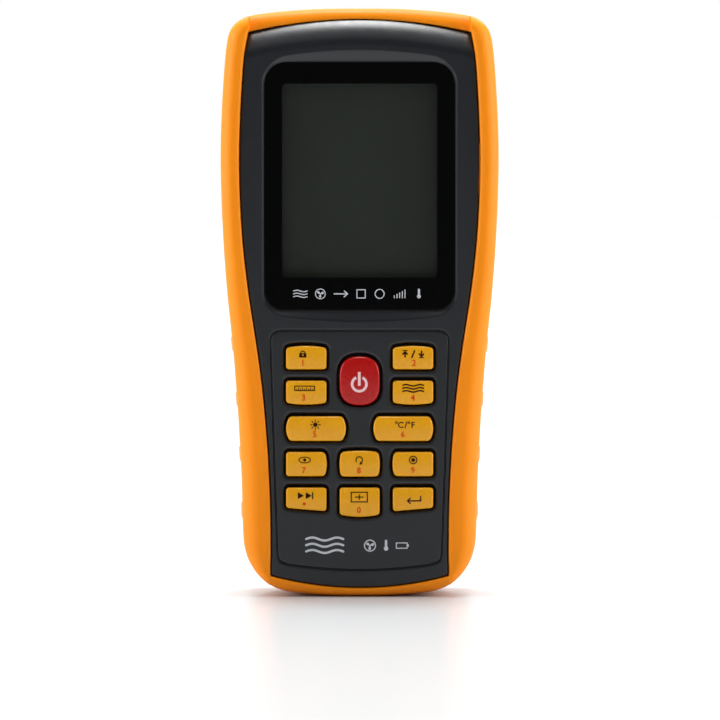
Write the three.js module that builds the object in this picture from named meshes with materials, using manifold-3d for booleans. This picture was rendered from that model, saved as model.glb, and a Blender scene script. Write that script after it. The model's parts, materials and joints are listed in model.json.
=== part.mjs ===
// Handheld air-flow meter: display and keypad instrument with a remote-probe socket on its top end.
// Units are millimetres. +Z runs up the instrument, the display faces -Y, +X is to the viewer's right.
// The origin is on the bottom end, under the middle of the overall box.
import * as THREE from "three";
import { mergeVertices } from "three/addons/utils/BufferGeometryUtils.js";
import Module from "manifold-3d";

const wasm = await Module();
wasm.setup();

// ---------------------------------------------------------------- driving dimensions
const LENGTH = 165; // overall, bottom end to top end
const Y_KEYS = -18; // top of the key caps
const Y_PANEL = -17; // front panel on its centre line
const CROWN = 0.8; // how much lower the panel is at its sides
const Y_BACK = 18; // flat rear face
const Y_PART = -7; // where the front and rear covers meet
const SEAM = 0.25; // gap between the covers and the bumper
const WALL = 2.2; // side walls of both covers
const BUMPER_FRONT = -17.2;
const BUMPER_BACK = 15.5;
const TOP_FRONT_R = 9.5; // big rounding over the top of the face
const KEY_GAP = 0.35; // play between a key and its aperture
const KEY_TRAVEL = 1.1;
const Y_PCB = -8; // component side of the board faces +Y, pads face -Y
const PCB_T = 1.6;
const WINDOW = { w: 53.2, h: 69.5, z: 115.1, r: 6, t: 1.4, y: -16.2 };
const VIEW = { w: 46.5, h: 57, z: 116.8, r: 1.5 };
const SOCKET = { y: 2, bore: 5, outer: 6, flange: 7.2, rim: 164.4, low: 147.6 };
const USB = { z: 120, y: -4.3, w: 7.7, t: 3.9 };
const DOOR = { x: 15, z0: 9.8, z1: 74.2, t: 2.2 };
const BATTERY = { x: 13.25, z0: 13.6, z1: 62.1, y0: -3.2, y1: 14.3 };
const CASE_SCREWS = [
  [-19.1, 14],
  [19.1, 14],
  [-26.3, 153.2],
  [26.3, 153.2],
];
const PCB_SCREWS = [
  [-12, 12.5],
  [12, 12.5],
  [-27.8, 143],
  [27.8, 143],
];
const GRIP_Z = [23.5, 39.5, 55.2, 70.8]; // grip ribs up each side

// Half outline of the whole instrument seen from the front, from the bottom end to the top end.
const OUTER = [
  [6, 0], [12, 0.35], [17, 0.8], [20, 1.2], [22.5, 1.8], [25, 2.95], [27.5, 4.85], [29.7, 7.45], [31.45, 10.6],
  [32.5, 14.4], [32.85, 19], [33, 24.4], [33.2, 32.8], [33.6, 41.2], [34.05, 49.6], [34.65, 58], [35.3, 66.4],
  [36.1, 74.8], [37, 83.2], [37.7, 91.6], [38.25, 100], [38.65, 108.4], [38.9, 116.8], [39, 123], [38.85, 131],
  [38.45, 140], [37.85, 149], [37.3, 154.4], [36.75, 157.4], [35.9, 159.4], [34.6, 161], [33, 162.1], [31.2, 162.8],
  [27.9, 163.5], [21.2, 164.25], [12, 164.85], [5, 165],
];
// Half outline of the panel, the seam between the covers and the bumper.
const PANEL = [
  [5, 2.7], [9.9, 3.1], [16.6, 4.05], [21, 4.95], [24.9, 5.9], [25, 10], [25.02, 16], [25.1, 24.4], [25.4, 32.8],
  [25.85, 41.2], [26.5, 49.6], [27.3, 58], [28.35, 66.4], [29.6, 74.8], [30.9, 83.2], [32, 91.6], [32.85, 100],
  [33.4, 108.4], [33.7, 116.8], [33.75, 125.2], [33.5, 133.6], [33.1, 142], [32.5, 150.4], [31.9, 154.6],
  [31.2, 158.35], [27.9, 159.1], [23.4, 159.95], [16.7, 160.95], [8, 161.7],
];

// ---------------------------------------------------------------- small helpers
const both = (half) => [...half.map(([x, z]) => [x, z]), ...[...half].reverse().map(([x, z]) => [-x, z])];

function halfWidth(table, z) {
  for (let i = 1; i < table.length; i++) {
    const [xa, za] = table[i - 1];
    const [xb, zb] = table[i];
    if (z >= za && z <= zb && zb > za) return xa + ((xb - xa) * (z - za)) / (zb - za);
  }
  return table[table.length - 1][0];
}

// Moves every edge of a counter-clockwise outline outwards by d (inwards when d is negative).
function offset(points, d) {
  const n = points.length;
  return points.map((p, i) => {
    const a = points[(i + n - 1) % n];
    const b = points[(i + 1) % n];
    const u = [p[0] - a[0], p[1] - a[1]];
    const v = [b[0] - p[0], b[1] - p[1]];
    const lu = Math.hypot(...u);
    const lv = Math.hypot(...v);
    const nu = [u[1] / lu, -u[0] / lu];
    const nv = [v[1] / lv, -v[0] / lv];
    const m = [nu[0] + nv[0], nu[1] + nv[1]];
    const k = (2 * d) / (m[0] * m[0] + m[1] * m[1]);
    return [p[0] + m[0] * k, p[1] + m[1] * k];
  });
}

const shapeOf = (points) => new THREE.Shape(points.map(([x, z]) => new THREE.Vector2(x, z)));

function solid(geometry) {
  const g = geometry.index ? geometry.toNonIndexed() : geometry.clone();
  g.deleteAttribute("normal");
  g.deleteAttribute("uv");
  const m = mergeVertices(g, 1e-4);
  const tri = [];
  for (let i = 0; i < m.index.count; i += 3) {
    const [a, b, c] = [m.index.getX(i), m.index.getX(i + 1), m.index.getX(i + 2)];
    if (a !== b && b !== c && c !== a) tri.push(a, b, c);
  }
  return new wasm.Manifold(
    new wasm.Mesh({
      numProp: 3,
      vertProperties: new Float32Array(m.attributes.position.array),
      triVerts: new Uint32Array(tri),
    }),
  );
}

function geometryOf(s) {
  const m = s.getMesh();
  const v = new Float32Array(m.numVert * 3);
  for (let i = 0; i < m.numVert; i++) {
    for (let k = 0; k < 3; k++) v[i * 3 + k] = m.vertProperties[i * m.numProp + k];
  }
  const g = new THREE.BufferGeometry();
  g.setAttribute("position", new THREE.BufferAttribute(v, 3));
  g.setIndex(new THREE.BufferAttribute(new Uint32Array(m.triVerts), 1));
  g.computeVertexNormals();
  return g;
}

// An outline in the X-Z plane, made thick from y0 (front) to y1 (back).
function slab(points, y0, y1, bevel, bevelSegments = 3) {
  const b = bevel || 0;
  const g = new THREE.ExtrudeGeometry(shapeOf(points), {
    depth: y1 - y0 - 2 * b,
    bevelEnabled: b > 0,
    bevelThickness: b,
    bevelSize: b,
    bevelOffset: -b,
    bevelSegments,
    curveSegments: 8,
    steps: 1,
  });
  g.rotateX(Math.PI / 2); // the outline's second axis turns to +Z, its thickness to -Y
  g.translate(0, y1 - b, 0);
  return solid(g);
}

// A side view in the Y-Z plane, made wide from x0 to x1.
function sideSlab(points, x0, x1) {
  const g = new THREE.ExtrudeGeometry(shapeOf(points), { depth: x1 - x0, bevelEnabled: false, steps: 1 });
  g.applyMatrix4(new THREE.Matrix4().set(0, 0, 1, x0, 1, 0, 0, 0, 0, 1, 0, 0, 0, 0, 0, 1));
  return solid(g);
}

function box(x0, x1, y0, y1, z0, z1) {
  const g = new THREE.BoxGeometry(x1 - x0, y1 - y0, z1 - z0);
  g.translate((x0 + x1) / 2, (y0 + y1) / 2, (z0 + z1) / 2);
  return solid(g);
}

function rodY(x, z, r, y0, y1, n = 20) {
  const g = new THREE.CylinderGeometry(r, r, y1 - y0, n);
  g.translate(x, (y0 + y1) / 2, z);
  return solid(g);
}

function rodZ(x, y, r, z0, z1, n = 24) {
  const g = new THREE.CylinderGeometry(r, r, z1 - z0, n);
  g.rotateX(Math.PI / 2);
  g.translate(x, y, (z0 + z1) / 2);
  return solid(g);
}

// A profile of [radius, height] pairs turned about a line parallel to +Z.
function turned(profile, x, y, n = 24) {
  const g = new THREE.LatheGeometry(profile.map(([r, z]) => new THREE.Vector2(r, z)), n);
  g.rotateX(Math.PI / 2);
  g.translate(x, y, 0);
  const s = solid(g);
  return s;
}

function roundedRect(cx, cz, w, h, r, n = 5) {
  const points = [];
  const corners = [
    [cx + w / 2 - r, cz - h / 2 + r, -90],
    [cx + w / 2 - r, cz + h / 2 - r, 0],
    [cx - w / 2 + r, cz + h / 2 - r, 90],
    [cx - w / 2 + r, cz - h / 2 + r, 180],
  ];
  for (const [x, z, start] of corners) {
    for (let i = 0; i <= n; i++) {
      const a = ((start + (90 * i) / n) * Math.PI) / 180;
      points.push([x + r * Math.cos(a), z + r * Math.sin(a)]);
    }
  }
  return points;
}

// A key outline: four corners, each edge bowed outwards by its own amount, corners rounded by cut.
function keyOutline(k) {
  const edge = 2;
  const corner = k.corner || 2;
  const c = [
    [k.x1, k.zBR],
    [k.x1, k.zTR],
    [k.x0, k.zTL],
    [k.x0, k.zBL],
  ];
  const bow = [k.br || 0, k.bt || 0, k.bl || 0, k.bb || 0];
  const q = (a, m, b, t) => [
    (1 - t) * (1 - t) * a[0] + 2 * t * (1 - t) * m[0] + t * t * b[0],
    (1 - t) * (1 - t) * a[1] + 2 * t * (1 - t) * m[1] + t * t * b[1],
  ];
  const edges = c.map((a, i) => {
    const b = c[(i + 1) % 4];
    const l = Math.hypot(b[0] - a[0], b[1] - a[1]);
    const n = [(b[1] - a[1]) / l, -(b[0] - a[0]) / l];
    const m = [(a[0] + b[0]) / 2 + 2 * bow[i] * n[0], (a[1] + b[1]) / 2 + 2 * bow[i] * n[1]];
    const t = Math.min(0.48, k.cut / l);
    const pts = [];
    for (let j = 0; j <= edge; j++) pts.push(q(a, m, b, t + ((1 - 2 * t) * j) / edge));
    return pts;
  });
  const out = [];
  edges.forEach((pts, i) => {
    out.push(...pts);
    const next = edges[(i + 1) % 4];
    const a = pts[pts.length - 1];
    const b = next[0];
    for (let j = 1; j < corner; j++) out.push(q(a, c[(i + 1) % 4], b, j / corner));
  });
  return out;
}

const mirrorKey = (k) => ({
  x0: -k.x1, x1: -k.x0, zTL: k.zTR, zTR: k.zTL, zBL: k.zBR, zBR: k.zBL, bt: k.bt, bb: k.bb, bl: k.br, br: k.bl, cut: k.cut,
});

const hold = { x0: -20.6, x1: -9.3, zTL: 70, zTR: 70, zBL: 64, zBR: 64, bt: 0.55, cut: 1 };
const unit = { x0: -20.6, x1: -9.3, zTL: 60.8, zTR: 60.8, zBL: 54.6, zBR: 54.6, bb: 0.5, cut: 1 };
const light = { x0: -19.3, x1: -4.7, zTL: 50.8, zTR: 50.8, zBL: 43.9, zBR: 43.9, bl: 1.3, br: 1.3, cut: 1.3 };
const read = { x0: -20.6, x1: -9.8, zTL: 40.8, zTR: 40.8, zBL: 34, zBR: 34, br: 0.6, cut: 1 };
const start = { x0: -20.6, x1: -9.3, zTL: 30.8, zTR: 30.8, zBL: 25.1, zBR: 24.15, cut: 1 };
const KEYS = {
  hold,
  max_min: mirrorKey(hold),
  power: { x0: -5.3, x1: 5.3, zTL: 67.1, zTR: 67.1, zBL: 54.4, zBR: 54.4, bt: 0.5, bb: 0.5, bl: 0.4, br: 0.4, cut: 5, corner: 4 },
  unit,
  velocity_flow: mirrorKey(unit),
  light,
  temperature_unit: mirrorKey(light),
  read,
  reset: { x0: -5.2, x1: 5.2, zTL: 40.8, zTR: 40.8, zBL: 33.9, zBR: 33.9, bt: 0.35, bl: 0.45, br: 0.45, cut: 1 },
  record: mirrorKey(read),
  start_next: start,
  sample_area: { x0: -5.6, x1: 5.6, zTL: 30.8, zTR: 30.8, zBL: 23.2, zBR: 23.2, bb: 0.6, cut: 1 },
  option_enter: mirrorKey(start),
};

// ---------------------------------------------------------------- materials
const paint = (color, roughness = 0.6, metalness = 0) => new THREE.MeshStandardMaterial({ color, roughness, metalness });
const charcoal = paint(0x2c2d31, 0.55);
const orange = paint(0xf08c14, 0.5);
const keyYellow = paint(0xd79a1e, 0.4);
const keyRed = paint(0xa8161a, 0.35);
const carbon = paint(0x111111, 0.8);
const clear = paint(0x08080a, 0.08);
const lcdGrey = paint(0x2a2d28, 0.3);
const white = paint(0xe8e8e4, 0.5);
const boardGreen = paint(0x1d5a34, 0.4);
const chipBlack = paint(0x18181a, 0.5);
const nickel = paint(0xb8b8b4, 0.3, 1);
const steel = paint(0x6a6a6c, 0.4, 1);
const silicone = paint(0x3a3a3c, 0.7);

const root = new THREE.Group();
function add(name, s, material, parent = root) {
  const mesh = new THREE.Mesh(s.isBufferGeometry ? s : geometryOf(s), material);
  mesh.name = name;
  parent.add(mesh);
  return mesh;
}

// ---------------------------------------------------------------- shared outlines and side views
const panel = both(PANEL);
const cover = offset(panel, -SEAM);
const inside = offset(panel, -SEAM - WALL);
const arc = (cy, cz, r, a0, a1, n) => {
  const out = [];
  for (let i = 0; i <= n; i++) {
    const a = ((a0 + ((a1 - a0) * i) / n) * Math.PI) / 180;
    out.push([cy + r * Math.cos(a), cz + r * Math.sin(a)]);
  }
  return out;
};
// The side view as [y, z]: bottom front, bottom back, top back, top front.
function sideView(yf, yb, z0, z1, rbf, rbb, rtb, rtf) {
  return [
    ...arc(yf + rbf, z0 + rbf, rbf, 180, 270, 4),
    ...arc(yb - rbb, z0 + rbb, rbb, 270, 360, 4),
    ...arc(yb - rtb, z1 - rtb, rtb, 0, 90, 4),
    ...arc(yf + rtf, z1 - rtf, rtf, 90, 180, 8),
  ];
}
// The crowned front in plan, as [x, y] run up the instrument.
function crownBlock() {
  const s = new THREE.Shape();
  const w = 40;
  s.moveTo(-w, 30);
  for (let i = 0; i <= 10; i++) {
    const x = -w + (2 * w * i) / 10;
    s.lineTo(x, Y_PANEL + CROWN * (x / 33.7) ** 2);
  }
  s.lineTo(w, 30);
  const g = new THREE.ExtrudeGeometry(s, { depth: LENGTH + 20, bevelEnabled: false, steps: 1 });
  g.translate(0, 0, -10);
  return solid(g);
}
const housingSide = sideSlab(sideView(Y_PANEL, Y_BACK, 0, LENGTH, 2.5, 5, 5, TOP_FRONT_R), -45, 45);

// ---------------------------------------------------------------- front cover
let front = slab(cover, -18, Y_PART).intersect(crownBlock()).intersect(housingSide);
const upper = box(-40, 40, -13, 0, 77, 170);
const lower = box(-40, 40, -14.8, 0, -5, 77);
front = front.subtract(slab(inside, -16, Y_PART + 1).intersect(upper.add(lower)));
for (const [x, z] of CASE_SCREWS) front = front.add(rodY(x, z, 3, z > 77 ? -13.2 : -15, Y_PART - 0.15));
for (const [x, z] of PCB_SCREWS) front = front.add(rodY(x, z, 2.3, z > 77 ? -13.2 : -15, Y_PCB - 0.12));
front = front.intersect(slab(cover, -18, Y_PART)).intersect(crownBlock());
for (const [x, z] of CASE_SCREWS) front = front.subtract(rodY(x, z, 1.5, -12.7, Y_PART + 1, 16));
for (const [x, z] of PCB_SCREWS) front = front.subtract(rodY(x, z, 1, -12.7, Y_PART + 1, 12));
front = front.subtract(slab(roundedRect(0, WINDOW.z, WINDOW.w + 0.4, WINDOW.h + 0.4, WINDOW.r + 0.2), -20, -14.4));
front = front.subtract(slab(roundedRect(0, VIEW.z, VIEW.w, VIEW.h, VIEW.r), -20, -10));
for (const k of Object.values(KEYS)) front = front.subtract(slab(offset(keyOutline(k), KEY_GAP), -20, -12));
add("front_cover", front, charcoal);

// ---------------------------------------------------------------- rear cover, with the battery box
let rear = slab(cover, Y_PART - 5, Y_BACK, 3).intersect(box(-45, 45, Y_PART + 0.2, 30, -5, 170)).intersect(housingSide);
const hollow = slab(inside, Y_PART - 3, Y_BACK - 3.4);
rear = rear.subtract(hollow);
let ribs = box(-15.3, 15.3, -4.6, Y_BACK - 2.3, 11.2, 73.8).subtract(box(-14.1, 14.1, -3.4, Y_BACK, 12.4, 72.6));
for (const [x, z] of CASE_SCREWS) ribs = ribs.add(rodY(x, z, 3.3, Y_PART + 0.4, Y_BACK - 2.3));
rear = rear.add(ribs.intersect(slab(cover, Y_PART + 0.4, Y_BACK)));
rear = rear.subtract(box(-14.1, 14.1, -3.4, Y_BACK - 2, 12.4, 72.6));
// door opening, and the slots that the door's hooks and latch reach into
rear = rear.subtract(box(-DOOR.x - 0.3, DOOR.x + 0.3, Y_BACK - DOOR.t - 0.2, Y_BACK + 1, DOOR.z0 - 0.3, DOOR.z1 + 0.3));
for (const x of [-9, 9]) rear = rear.subtract(box(x - 2.8, x + 2.8, Y_BACK - 6, Y_BACK - DOOR.t + 0.4, 5.6, DOOR.z0 + 3));
rear = rear.subtract(box(-4.2, 4.2, Y_BACK - 5, Y_BACK + 1, 71, 77.2));
rear = rear.subtract(box(-4.5, 4.5, -3.4, 6, 71, 75)); // the leads leave the battery box here
for (const [x, z] of CASE_SCREWS) {
  rear = rear.subtract(rodY(x, z, 2.75, 2, Y_BACK + 1, 24)).subtract(rodY(x, z, 1.6, Y_PART - 1, 3, 16));
}
rear = rear.subtract(rodZ(0, SOCKET.y, SOCKET.outer + 0.25, 150, 170, 28));
rear = rear.subtract(box(20, 45, Y_PART - 1, -1.9, USB.z - 4.5, USB.z + 4.5));
rear = rear.subtract(slab(roundedRect(0, 108, 40.6, 42.6, 2.3), Y_BACK - 0.5, Y_BACK + 1)); // label recess
add("rear_cover", rear, charcoal);

// ---------------------------------------------------------------- bumper, a soft ring round both covers
const bumperSide = sideSlab(sideView(BUMPER_FRONT, BUMPER_BACK, 0, LENGTH, 3.5, 3.5, 5, 7.5), -45, 45);
let bumper = slab(both(OUTER), BUMPER_FRONT, BUMPER_BACK, 3.6);
for (const z of GRIP_Z) {
  const x = halfWidth(OUTER, z) - 5;
  bumper = bumper.add(rodY(x, z, 5.5, -9, 9, 32)).add(rodY(-x, z, 5.5, -9, 9, 32));
}
bumper = bumper.subtract(slab(panel, -30, 30)).intersect(bumperSide);
// between the corners the top bar lies lower than the side rails
const barSide = sideSlab(sideView(-16.3, 30, -50, 165, 2, 2, 2, TOP_FRONT_R + 0.6), -31.3, 31.3);
bumper = bumper.subtract(box(-31.3, 31.3, -30, 5, 157, 170).subtract(barSide));
bumper = bumper.subtract(rodZ(0, SOCKET.y, SOCKET.flange + 0.35, 150, 170, 28));
bumper = bumper.subtract(box(20, 45, -9, 0.3, USB.z - 7, USB.z + 7));
add("bumper", bumper, orange);

// ---------------------------------------------------------------- display stack
add("display_window", slab(roundedRect(0, WINDOW.z, WINDOW.w, WINDOW.h, WINDOW.r), WINDOW.y, WINDOW.y + WINDOW.t), clear);
add(
  "window_tape",
  slab(roundedRect(0, WINDOW.z, WINDOW.w - 0.6, WINDOW.h - 0.6, WINDOW.r - 0.3), -14.73, -14.46).subtract(
    slab(roundedRect(0, VIEW.z, VIEW.w + 1, VIEW.h + 1, VIEW.r + 0.5), -20, -10),
  ),
  carbon,
);
const lcdZ = VIEW.z;
add("lcd_glass", box(-24, 24, -12.7, -10.8, lcdZ - 30.5, lcdZ + 30.5), lcdGrey);
add(
  "lcd_frame",
  box(-25.2, 25.2, -12.8, -8.15, lcdZ - 31.6, lcdZ + 31.6).subtract(box(-24.2, 24.2, -20, 0, lcdZ - 30.7, lcdZ + 30.7)),
  white,
);
add("backlight", box(-23.8, 23.8, -10.6, -8.3, lcdZ - 27, lcdZ + 27), white);
add("zebra_strip_upper", box(-22, 22, -10.65, -8.12, lcdZ + 28, lcdZ + 30), silicone);
add("zebra_strip_lower", box(-22, 22, -10.65, -8.12, lcdZ - 30, lcdZ - 28), silicone);

// ---------------------------------------------------------------- main board and what is soldered to it
const pcbOutline = offset(panel, -3.1);
let pcb = slab(pcbOutline, Y_PCB, Y_PCB + PCB_T)
  .intersect(box(-40, 40, -20, 0, 18.6, 146).add(box(-15.4, 15.4, -20, 0, 9, 20)));
for (const [x, z] of PCB_SCREWS) pcb = pcb.subtract(rodY(x, z, 1.1, -20, 0, 12));
add("main_board", pcb, boardGreen);
add("processor_chip", box(-16, -4, -6.3, -4.9, 98, 110), chipBlack);
add("beeper", rodY(14, 100, 6, -6.3, -0.8, 24), chipBlack);
let usb = box(22.5, 31, USB.y - USB.t / 2, USB.y + USB.t / 2, USB.z - USB.w / 2, USB.z + USB.w / 2);
usb = usb
  .subtract(box(24, 32, USB.y - 1.55, USB.y + 1.55, USB.z - 3.4, USB.z + 3.4))
  .add(box(23.5, 29.8, USB.y + 0.25, USB.y + 0.95, USB.z - 2.6, USB.z + 2.6));
add("usb_socket", usb, nickel);

// ---------------------------------------------------------------- probe socket in the top end
const s = SOCKET;
add(
  "probe_socket_shell",
  turned(
    [
      [s.bore, s.low], [s.outer, s.low], [s.outer, 161.5], [s.flange, 161.5], [s.flange, 163.1],
      [s.outer, 163.1], [s.outer, s.rim], [s.bore, s.rim], [s.bore, s.low],
    ],
    0,
    s.y,
  ),
  nickel,
);
let insert = rodZ(0, s.y, s.bore - 0.25, 147.9, 153.4, 28);
for (let i = 0; i < 4; i++) {
  const a = (Math.PI / 180) * (45 + 90 * i);
  insert = insert.add(rodZ(2.9 * Math.cos(a), s.y + 2.9 * Math.sin(a), 0.6, 150, 159.8, 10));
}
add("probe_socket_insert", insert, chipBlack);
const nutGeometry = new THREE.CylinderGeometry(8.1, 8.1, 2.6, 6);
nutGeometry.rotateX(Math.PI / 2);
nutGeometry.rotateZ(Math.PI / 6);
nutGeometry.translate(0, s.y, 157.2);
add("probe_socket_nut", solid(nutGeometry).subtract(rodZ(0, s.y, s.outer + 0.2, 150, 170, 28)), nickel);

function lead(points, r, sides = 8, steps = 9) {
  const curve = new THREE.CatmullRomCurve3(points.map((p) => new THREE.Vector3(...p)));
  const ring = [];
  for (let i = 0; i < sides; i++) {
    ring.push(new THREE.Vector2(r * Math.cos((2 * Math.PI * i) / sides), r * Math.sin((2 * Math.PI * i) / sides)));
  }
  return solid(new THREE.ExtrudeGeometry(new THREE.Shape(ring), { steps, bevelEnabled: false, extrudePath: curve }));
}
add("probe_harness", lead([[0, 2, 147.6], [0, 2, 144.5], [-1.5, 1.2, 138], [-4, -2.2, 133], [-4, -6.1, 132.8]], 1.3), chipBlack);

// ---------------------------------------------------------------- keypad mat with a collar round each key
let mat = slab(roundedRect(0, 46.7, 43, 51.6, 2, 3), -9.4, Y_PCB - 0.1);
for (const k of Object.values(KEYS)) mat = mat.add(slab(offset(keyOutline(k), 0.6), -12.2, -9.2));
for (const k of Object.values(KEYS)) mat = mat.subtract(slab(offset(keyOutline(k), -0.4), -20, 0));
add("keypad_mat", mat, silicone);

// Each key is made about its own centre and set in its place.
for (const [name, k] of Object.entries(KEYS)) {
  const outline = keyOutline(k);
  const cx = (k.x0 + k.x1) / 2;
  const cz = (Math.max(...outline.map((p) => p[1])) + Math.min(...outline.map((p) => p[1]))) / 2;
  const own = outline.map(([x, z]) => [x - cx, z - cz]);
  const cap = slab(own, 0, 3.6).intersect(slab(own, 0, 12, 0.7, 2));
  const flange = slab(offset(keyOutline(k).map(([x, z]) => [x - cx, z - cz]), 0.9), 3.4, 4.4);
  const stem = slab(roundedRect(0, 0, k.x1 - k.x0 - 2.6, k.zTL - k.zBL - 2.4, name === "power" ? 3 : 0.8, 2), 4.2, 8.1);
  const key = add("key_" + name, cap.add(flange).add(stem), name === "power" ? keyRed : keyYellow);
  key.position.set(cx, Y_KEYS, cz);
  const pill = new THREE.CylinderGeometry(1.7, 1.7, 0.6, 10);
  add("contact_" + name, pill, carbon).position.set(cx, Y_KEYS + 8.1 + 0.1 + 0.3, cz);
}

// ---------------------------------------------------------------- battery, its snap and leads
const b = BATTERY;
let battery = slab(roundedRect(0, (b.z0 + b.z1) / 2, 2 * b.x, b.z1 - b.z0, 1, 2), b.y0, b.y1);
battery = battery.add(rodZ(-6.35, 5.5, 2.8, b.z1 - 0.5, b.z1 + 2, 16)).add(rodZ(6.35, 5.5, 3.9, b.z1 - 0.5, b.z1 + 2, 6));
add("battery", battery, steel);
add("battery_snap", box(-12.8, 12.8, -0.5, 11.5, b.z1 + 2.3, b.z1 + 6.8), chipBlack);
add("battery_lead_red", lead([[2.6, 2, 69.2], [2.6, 1.9, 73], [2.8, 1, 78], [3.5, -2.6, 81], [3.5, -6.2, 81]], 0.75), keyRed);
add("battery_lead_black", lead([[-2.6, 2, 69.2], [-2.6, 1.9, 73], [-2.8, 1, 78], [-3.5, -2.6, 81], [-3.5, -6.2, 81]], 0.75), carbon);

// ---------------------------------------------------------------- battery door on two hooks, with a latch at its top edge
const yd = Y_BACK - DOOR.t;
let door = box(-DOOR.x, DOOR.x, yd, Y_BACK, DOOR.z0, DOOR.z1);
for (const x of [-9, 9]) {
  door = door.add(box(x - 2.3, x + 2.3, yd - 1.6, yd + 0.2, DOOR.z0, DOOR.z0 + 2.2));
  door = door.add(box(x - 2.3, x + 2.3, yd - 1.6, yd - 0.4, DOOR.z0 - 2, DOOR.z0 + 1));
}
door = door.add(box(-3.8, 3.8, yd - 1.5, yd + 1.2, 72.6, 76.8)); // spring tongue in its notch
door = door.subtract(slab(roundedRect(0, 68.6, 14, 5.2, 2.5, 3), Y_BACK - 0.8, Y_BACK + 1)); // thumb recess
add("battery_door", door, charcoal);
add("battery_pad", box(-9, 9, b.y1 + 0.15, yd - 0.1, 24, 54), silicone);

// ---------------------------------------------------------------- label and fasteners
add("rear_label", slab(roundedRect(0, 108, 40, 42, 2), Y_BACK - 0.45, Y_BACK - 0.1), nickel);

function screw(headR, headT, shankR, length, slot) {
  // Head at the back, shank towards -Y, seat of the head at the local origin.
  let g = rodY(0, 0, headR, 0, headT, 14).add(rodY(0, 0, shankR, -length, 0.2, 8));
  const half = slot / 2;
  g = g.subtract(box(-headR * 0.55, headR * 0.55, headT * 0.45, headT + 1, -half, half));
  g = g.subtract(box(-half, half, headT * 0.45, headT + 1, -headR * 0.55, headR * 0.55));
  return geometryOf(g);
}
const caseScrew = screw(2.5, 2, 1.3, 14, 0.7);
CASE_SCREWS.forEach(([x, z], i) => {
  add("case_screw_" + ["bottom_left", "bottom_right", "top_left", "top_right"][i], caseScrew, steel).position.set(x, 2.06, z);
});
const boardScrew = screw(1.95, 1.3, 0.85, 5.6, 0.5);
PCB_SCREWS.forEach(([x, z], i) => {
  add("board_screw_" + ["bottom_left", "bottom_right", "top_left", "top_right"][i], boardScrew, steel).position.set(
    x,
    Y_PCB + PCB_T + 0.05,
    z,
  );
});

export default root;
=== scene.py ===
# Looks of the handheld air-flow meter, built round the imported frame. Lengths in the tables are millimetres.
import math

import bmesh
import bpy
import numpy as np
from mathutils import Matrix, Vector
from mathutils.geometry import delaunay_2d_cdt
from mathutils.kdtree import KDTree
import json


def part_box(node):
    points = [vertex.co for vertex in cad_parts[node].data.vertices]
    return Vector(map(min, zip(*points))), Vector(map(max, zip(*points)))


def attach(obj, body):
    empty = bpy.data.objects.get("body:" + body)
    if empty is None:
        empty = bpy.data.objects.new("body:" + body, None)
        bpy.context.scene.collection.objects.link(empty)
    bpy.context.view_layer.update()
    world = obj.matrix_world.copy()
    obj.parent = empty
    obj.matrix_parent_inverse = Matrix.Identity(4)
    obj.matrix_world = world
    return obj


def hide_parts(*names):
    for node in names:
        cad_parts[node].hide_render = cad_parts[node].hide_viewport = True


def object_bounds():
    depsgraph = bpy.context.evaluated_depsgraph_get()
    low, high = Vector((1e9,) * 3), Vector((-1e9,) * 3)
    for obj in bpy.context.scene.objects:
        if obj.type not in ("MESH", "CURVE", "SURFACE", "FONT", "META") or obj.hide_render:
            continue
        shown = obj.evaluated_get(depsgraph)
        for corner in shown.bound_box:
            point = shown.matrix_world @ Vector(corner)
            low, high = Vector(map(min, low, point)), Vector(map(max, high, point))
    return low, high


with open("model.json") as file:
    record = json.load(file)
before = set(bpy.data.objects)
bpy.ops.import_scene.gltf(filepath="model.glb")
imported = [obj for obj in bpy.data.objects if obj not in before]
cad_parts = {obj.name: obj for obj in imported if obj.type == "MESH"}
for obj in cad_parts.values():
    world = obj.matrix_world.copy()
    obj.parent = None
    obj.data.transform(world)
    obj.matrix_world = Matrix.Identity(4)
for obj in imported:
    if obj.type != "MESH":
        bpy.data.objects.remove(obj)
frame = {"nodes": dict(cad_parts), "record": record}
CAD_LO, CAD_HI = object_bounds()
MM = 0.001


def mmbox(node):
    lo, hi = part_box(node)
    return [v / MM for v in lo], [v / MM for v in hi]


# ------------------------------------------------------------------ outlines
OUTER = [
    [0, 0], [6, 0], [12, 0.35], [17, 0.8], [20, 1.2], [22.5, 1.8], [25, 2.95], [27.5, 4.85], [29.7, 7.45], [31.45, 10.6],
    [32.5, 14.4], [32.85, 19], [33, 24.4], [33.2, 32.8], [33.6, 41.2], [34.05, 49.6], [34.65, 58], [35.3, 66.4],
    [36.1, 74.8], [37, 83.2], [37.7, 91.6], [38.25, 100], [38.65, 108.4], [38.9, 116.8], [39, 123], [38.85, 131],
    [38.45, 140], [37.85, 149], [37.3, 154.4], [36.75, 157.4], [35.9, 159.4], [34.6, 161], [33, 162.1], [31.2, 162.8],
    [27.9, 163.5], [21.2, 164.25], [12, 164.85], [5, 165], [0, 165],
]
SIDE = [
    [25, 6], [25, 10], [25.02, 16], [25.1, 24.4], [25.4, 32.8], [25.85, 41.2], [26.5, 49.6], [27.3, 58], [28.35, 66.4],
    [29.6, 74.8], [30.9, 83.2], [32, 91.6], [32.85, 100], [33.4, 108.4], [33.7, 116.8], [33.75, 125.2], [33.5, 133.6],
    [33.1, 142], [32.5, 150.4], [31.9, 154.6], [31.2, 158.3],
]


def panel_top(x):
    return PANEL_TOP[0] - (PANEL_TOP[0] - PANEL_TOP[1]) * (x / 31.2) ** 2


def panel_bottom(x):
    return PANEL_BOT[0] + (PANEL_BOT[1] - PANEL_BOT[0]) * (x / 25.0) ** 2


PANEL_TOP = (161.95, 158.35)
PANEL_BOT = (2.6, 5.9)


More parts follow.
